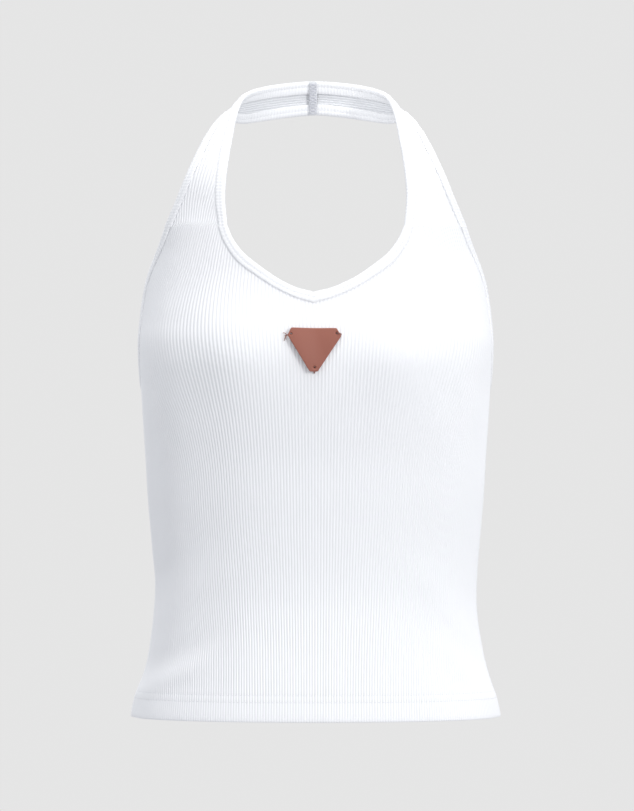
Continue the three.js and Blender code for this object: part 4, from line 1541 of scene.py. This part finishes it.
class HALTER_OT_badge(bpy.types.Operator):
    """Bare leather badge, sewn on at its three corners"""
    bl_idname = "halter.badge"
    bl_label = "Badge"

    def execute(self, context):
        badge, colours = context.scene.halter_badge, context.scene.halter_colours
        thick, low = badge.thick / MM, badge.lift / MM
        round_off = badge.rounding / MM
        flat, faces, distance = leather_mesh(badge)
        flat = np.array(flat)
        drop = np.clip(round_off - distance, 0, round_off)
        top = low + thick - (round_off - np.sqrt(round_off ** 2 - drop ** 2))
        top += 0.10 * np.sin(flat[:, 0] * 0.13 + 1) * np.cos(flat[:, 1] * 0.15)
        ways = flat[:, 0]
        off = BADGE_OFF["rise"] * smoothstep(-ways - 0.35 * (flat[:, 1] + 218), *BADGE_OFF["over"])
        top += off
        def surface(x, z, lift):
            points = on_body(np.abs(x) - body.length(z), z, lift)
            points[:, 0] = np.where(x < 0, -points[:, 0], points[:, 0])
            return points
        upper = surface(ways, flat[:, 1], top)
        lower = surface(ways, flat[:, 1], low + off)
        count = len(flat)
        edges = {}
        for tri in faces:
            for a, b in zip(tri, tri[1:] + tri[:1]):
                edges[(a, b)] = True
        walls = []
        for a, b in list(edges):
            if (b, a) not in edges:
                walls += [[b, a, a + count], [b, a + count, b + count]]
        under = [[c + count, b + count, a + count] for a, b, c in faces]
        leather = made_material("badge_leather", lambda name: leather_material(name, colours))
        piece = mesh_object("leather_badge", draped(np.concatenate([upper, lower])),
                            faces + under + walls, [leather])
        far = piece.data.attributes.new("from_edge", "FLOAT", "POINT")
        shown = np.concatenate([np.minimum(distance, 1.2), np.zeros(count)])
        far.data.foreach_set("value", shown.astype(np.float32))
        ride(piece, "badge_leather", "badge")
        brown = made_material("badge_thread", lambda name: thread_material(
            name, colours.badge_thread, colours.leather_edge))
        guides = []
        for corner in LEATHER_HOLES:
            (hx, hz), (tx, tz) = corner["at"], corner["to"]
            for shift in (-0.32, 0.32):
                run = Vector((tx - hx, tz - hz)).normalized()
                sx, sz = -run.y * shift, run.x * shift
                line = [(0.0, low + 0.4), (0.04, low + thick - 0.1), (0.3, low + thick + 0.28),
                        (0.62, low + thick + 0.2), (0.9, low + 1.2), (1.0, 0.3), (1.02, -0.3)]
                x = np.array([hx + sx + (tx - hx) * t for t, _ in line])
                z = np.array([hz + sz + (tz - hz) * t for t, _ in line])
                guides.append(polyline("guide", surface(x, z, np.array([h for _, h in line]))))
        for ends in LOOSE_ENDS:
            x, z, lift = np.array(ends, float).T
            guides.append(polyline("guide", surface(x, z, lift + low)))
        thread = grown("badge_stitches", guides, thread_tree(), {
            "Thread Thickness": 0.00055, "Step": 0.0003, "Material": brown})
        ride(thread, "badge_leather")
        return {"FINISHED"}


class HALTER_OT_stage(bpy.types.Operator):
    """Pale studio floor, soft lights and the camera"""
    bl_idname = "halter.stage"
    bl_label = "Stage"

    def execute(self, context):
        scene = context.scene
        grey = rgba(scene.halter_colours.backdrop)
        shader = Shader("studio_floor")
        shader.finish({}, {"Base Color": (0, 0, 0, 1), "Roughness": 1.0, "Specular IOR Level": 0.0,
                           "Emission Color": grey, "Emission Strength": 1.0})
        rings, around, radius = 24, 64, 9.0
        corners = [(radius * math.sin(math.pi * j / rings) * math.cos(2 * math.pi * i / around),
                    radius * math.sin(math.pi * j / rings) * math.sin(2 * math.pi * i / around),
                    max(-radius * math.cos(math.pi * j / rings), FLOOR))
                   for j in range(1, rings) for i in range(around)]
        faces = []
        for j in range(rings - 2):
            for i in range(around):
                a, b = j * around + i, j * around + (i + 1) % around
                faces.append([a, a + around, b + around, b])
        faces.append(list(range(around)))
        faces.append([len(corners) - 1 - i for i in range(around)])
        mesh = bpy.data.meshes.new("studio")
        mesh.from_pydata(corners, [], faces)
        mesh.materials.append(shader.material)
        studio = bpy.data.objects.new("studio", mesh)
        studio.visible_diffuse = studio.visible_glossy = studio.visible_shadow = False
        scene.collection.objects.link(studio)

        world = bpy.data.worlds.new("studio_air")
        world.use_nodes = True
        air = world.node_tree.nodes["Background"].inputs
        air["Color"].default_value = rgba(scene.halter_colours.fill)
        air["Strength"].default_value = 0.71
        scene.world = world

        middle = Vector((0, -0.053, -0.27))
        for name, place, size, power in (
            ("key", (2.4, -3.2, 0.8), 0.6, 54.0),
            ("top", (0.0, -0.7, 3.2), 1.6, 60.0),
            ("back_fill", (-1.8, 3.4, 1.6), 2.4, 40.0),
        ):
            data = bpy.data.lights.new(name, "AREA")
            data.shape, data.size, data.energy = "SQUARE", size, power
            lamp = bpy.data.objects.new(name, data)
            lamp.location = place
            lamp.rotation_mode = "QUATERNION"
            lamp.rotation_quaternion = (middle - Vector(place)).to_track_quat("-Z", "Y")
            lamp.visible_camera = False
            scene.collection.objects.link(lamp)

        place, aim = Vector((-1.2, -2.4, 0.25)), Vector((0.060, -0.012, -0.006))
        data = bpy.data.lights.new("strap_spot", "SPOT")
        data.energy, data.spot_size, data.spot_blend = 90.0, math.radians(2.4), 1.0
        data.shadow_soft_size = 0.02
        lamp = bpy.data.objects.new("strap_spot", data)
        lamp.location = place
        lamp.rotation_mode = "QUATERNION"
        lamp.rotation_quaternion = (aim - place).to_track_quat("-Z", "Y")
        lamp.visible_camera = False
        scene.collection.objects.link(lamp)

        view_height, distance = 0.68935, 5.0
        data = bpy.data.cameras.new("camera")
        data.sensor_fit = "AUTO"
        data.sensor_width = 36.0
        data.lens = data.sensor_width * distance / view_height
        camera = bpy.data.objects.new("camera", data)
        camera.location = (0.0011, -distance - NAPE_Y * MM, -0.264)
        camera.rotation_euler = (math.radians(90), 0, 0)
        scene.collection.objects.link(camera)
        scene.camera = camera
        scene.view_settings.view_transform = "Standard"
        scene.view_settings.look = "None"
        return {"FINISHED"}


class HALTER_PT_panel(bpy.types.Panel):
    """Lists the pieces in the sidebar"""
    bl_label = "Halter Neck Top"
    bl_idname = "HALTER_PT_panel"
    bl_space_type = "VIEW_3D"
    bl_region_type = "UI"
    bl_category = "Halter Top"

    def draw(self, context):
        for operator in OPERATORS:
            self.layout.operator(operator.bl_idname)
        for group in (context.scene.halter_cloth, context.scene.halter_sewing,
                      context.scene.halter_badge, context.scene.halter_colours):
            box = self.layout.box()
            for name in group.__annotations__:
                box.prop(group, name)


GROUPS = {"halter_cloth": HalterCloth, "halter_sewing": HalterSewing,
          "halter_badge": HalterBadge, "halter_colours": HalterColours}
OPERATORS = (HALTER_OT_stage, HALTER_OT_front, HALTER_OT_back, HALTER_OT_bindings,
             HALTER_OT_stitching, HALTER_OT_neck_seam, HALTER_OT_badge)


def register():
    for made in (*GROUPS.values(), *OPERATORS, HALTER_PT_panel):
        bpy.utils.register_class(made)
    for name, group in GROUPS.items():
        setattr(bpy.types.Scene, name, PointerProperty(type=group))


def unregister():
    for name in GROUPS:
        delattr(bpy.types.Scene, name)
    for made in (HALTER_PT_panel, *reversed(OPERATORS), *reversed(GROUPS.values())):
        bpy.utils.unregister_class(made)


def main():
    register()
    for operator in OPERATORS:
        family, name = operator.bl_idname.split(".")
        getattr(getattr(bpy.ops, family), name)()


if __name__ == "__main__":
    main()
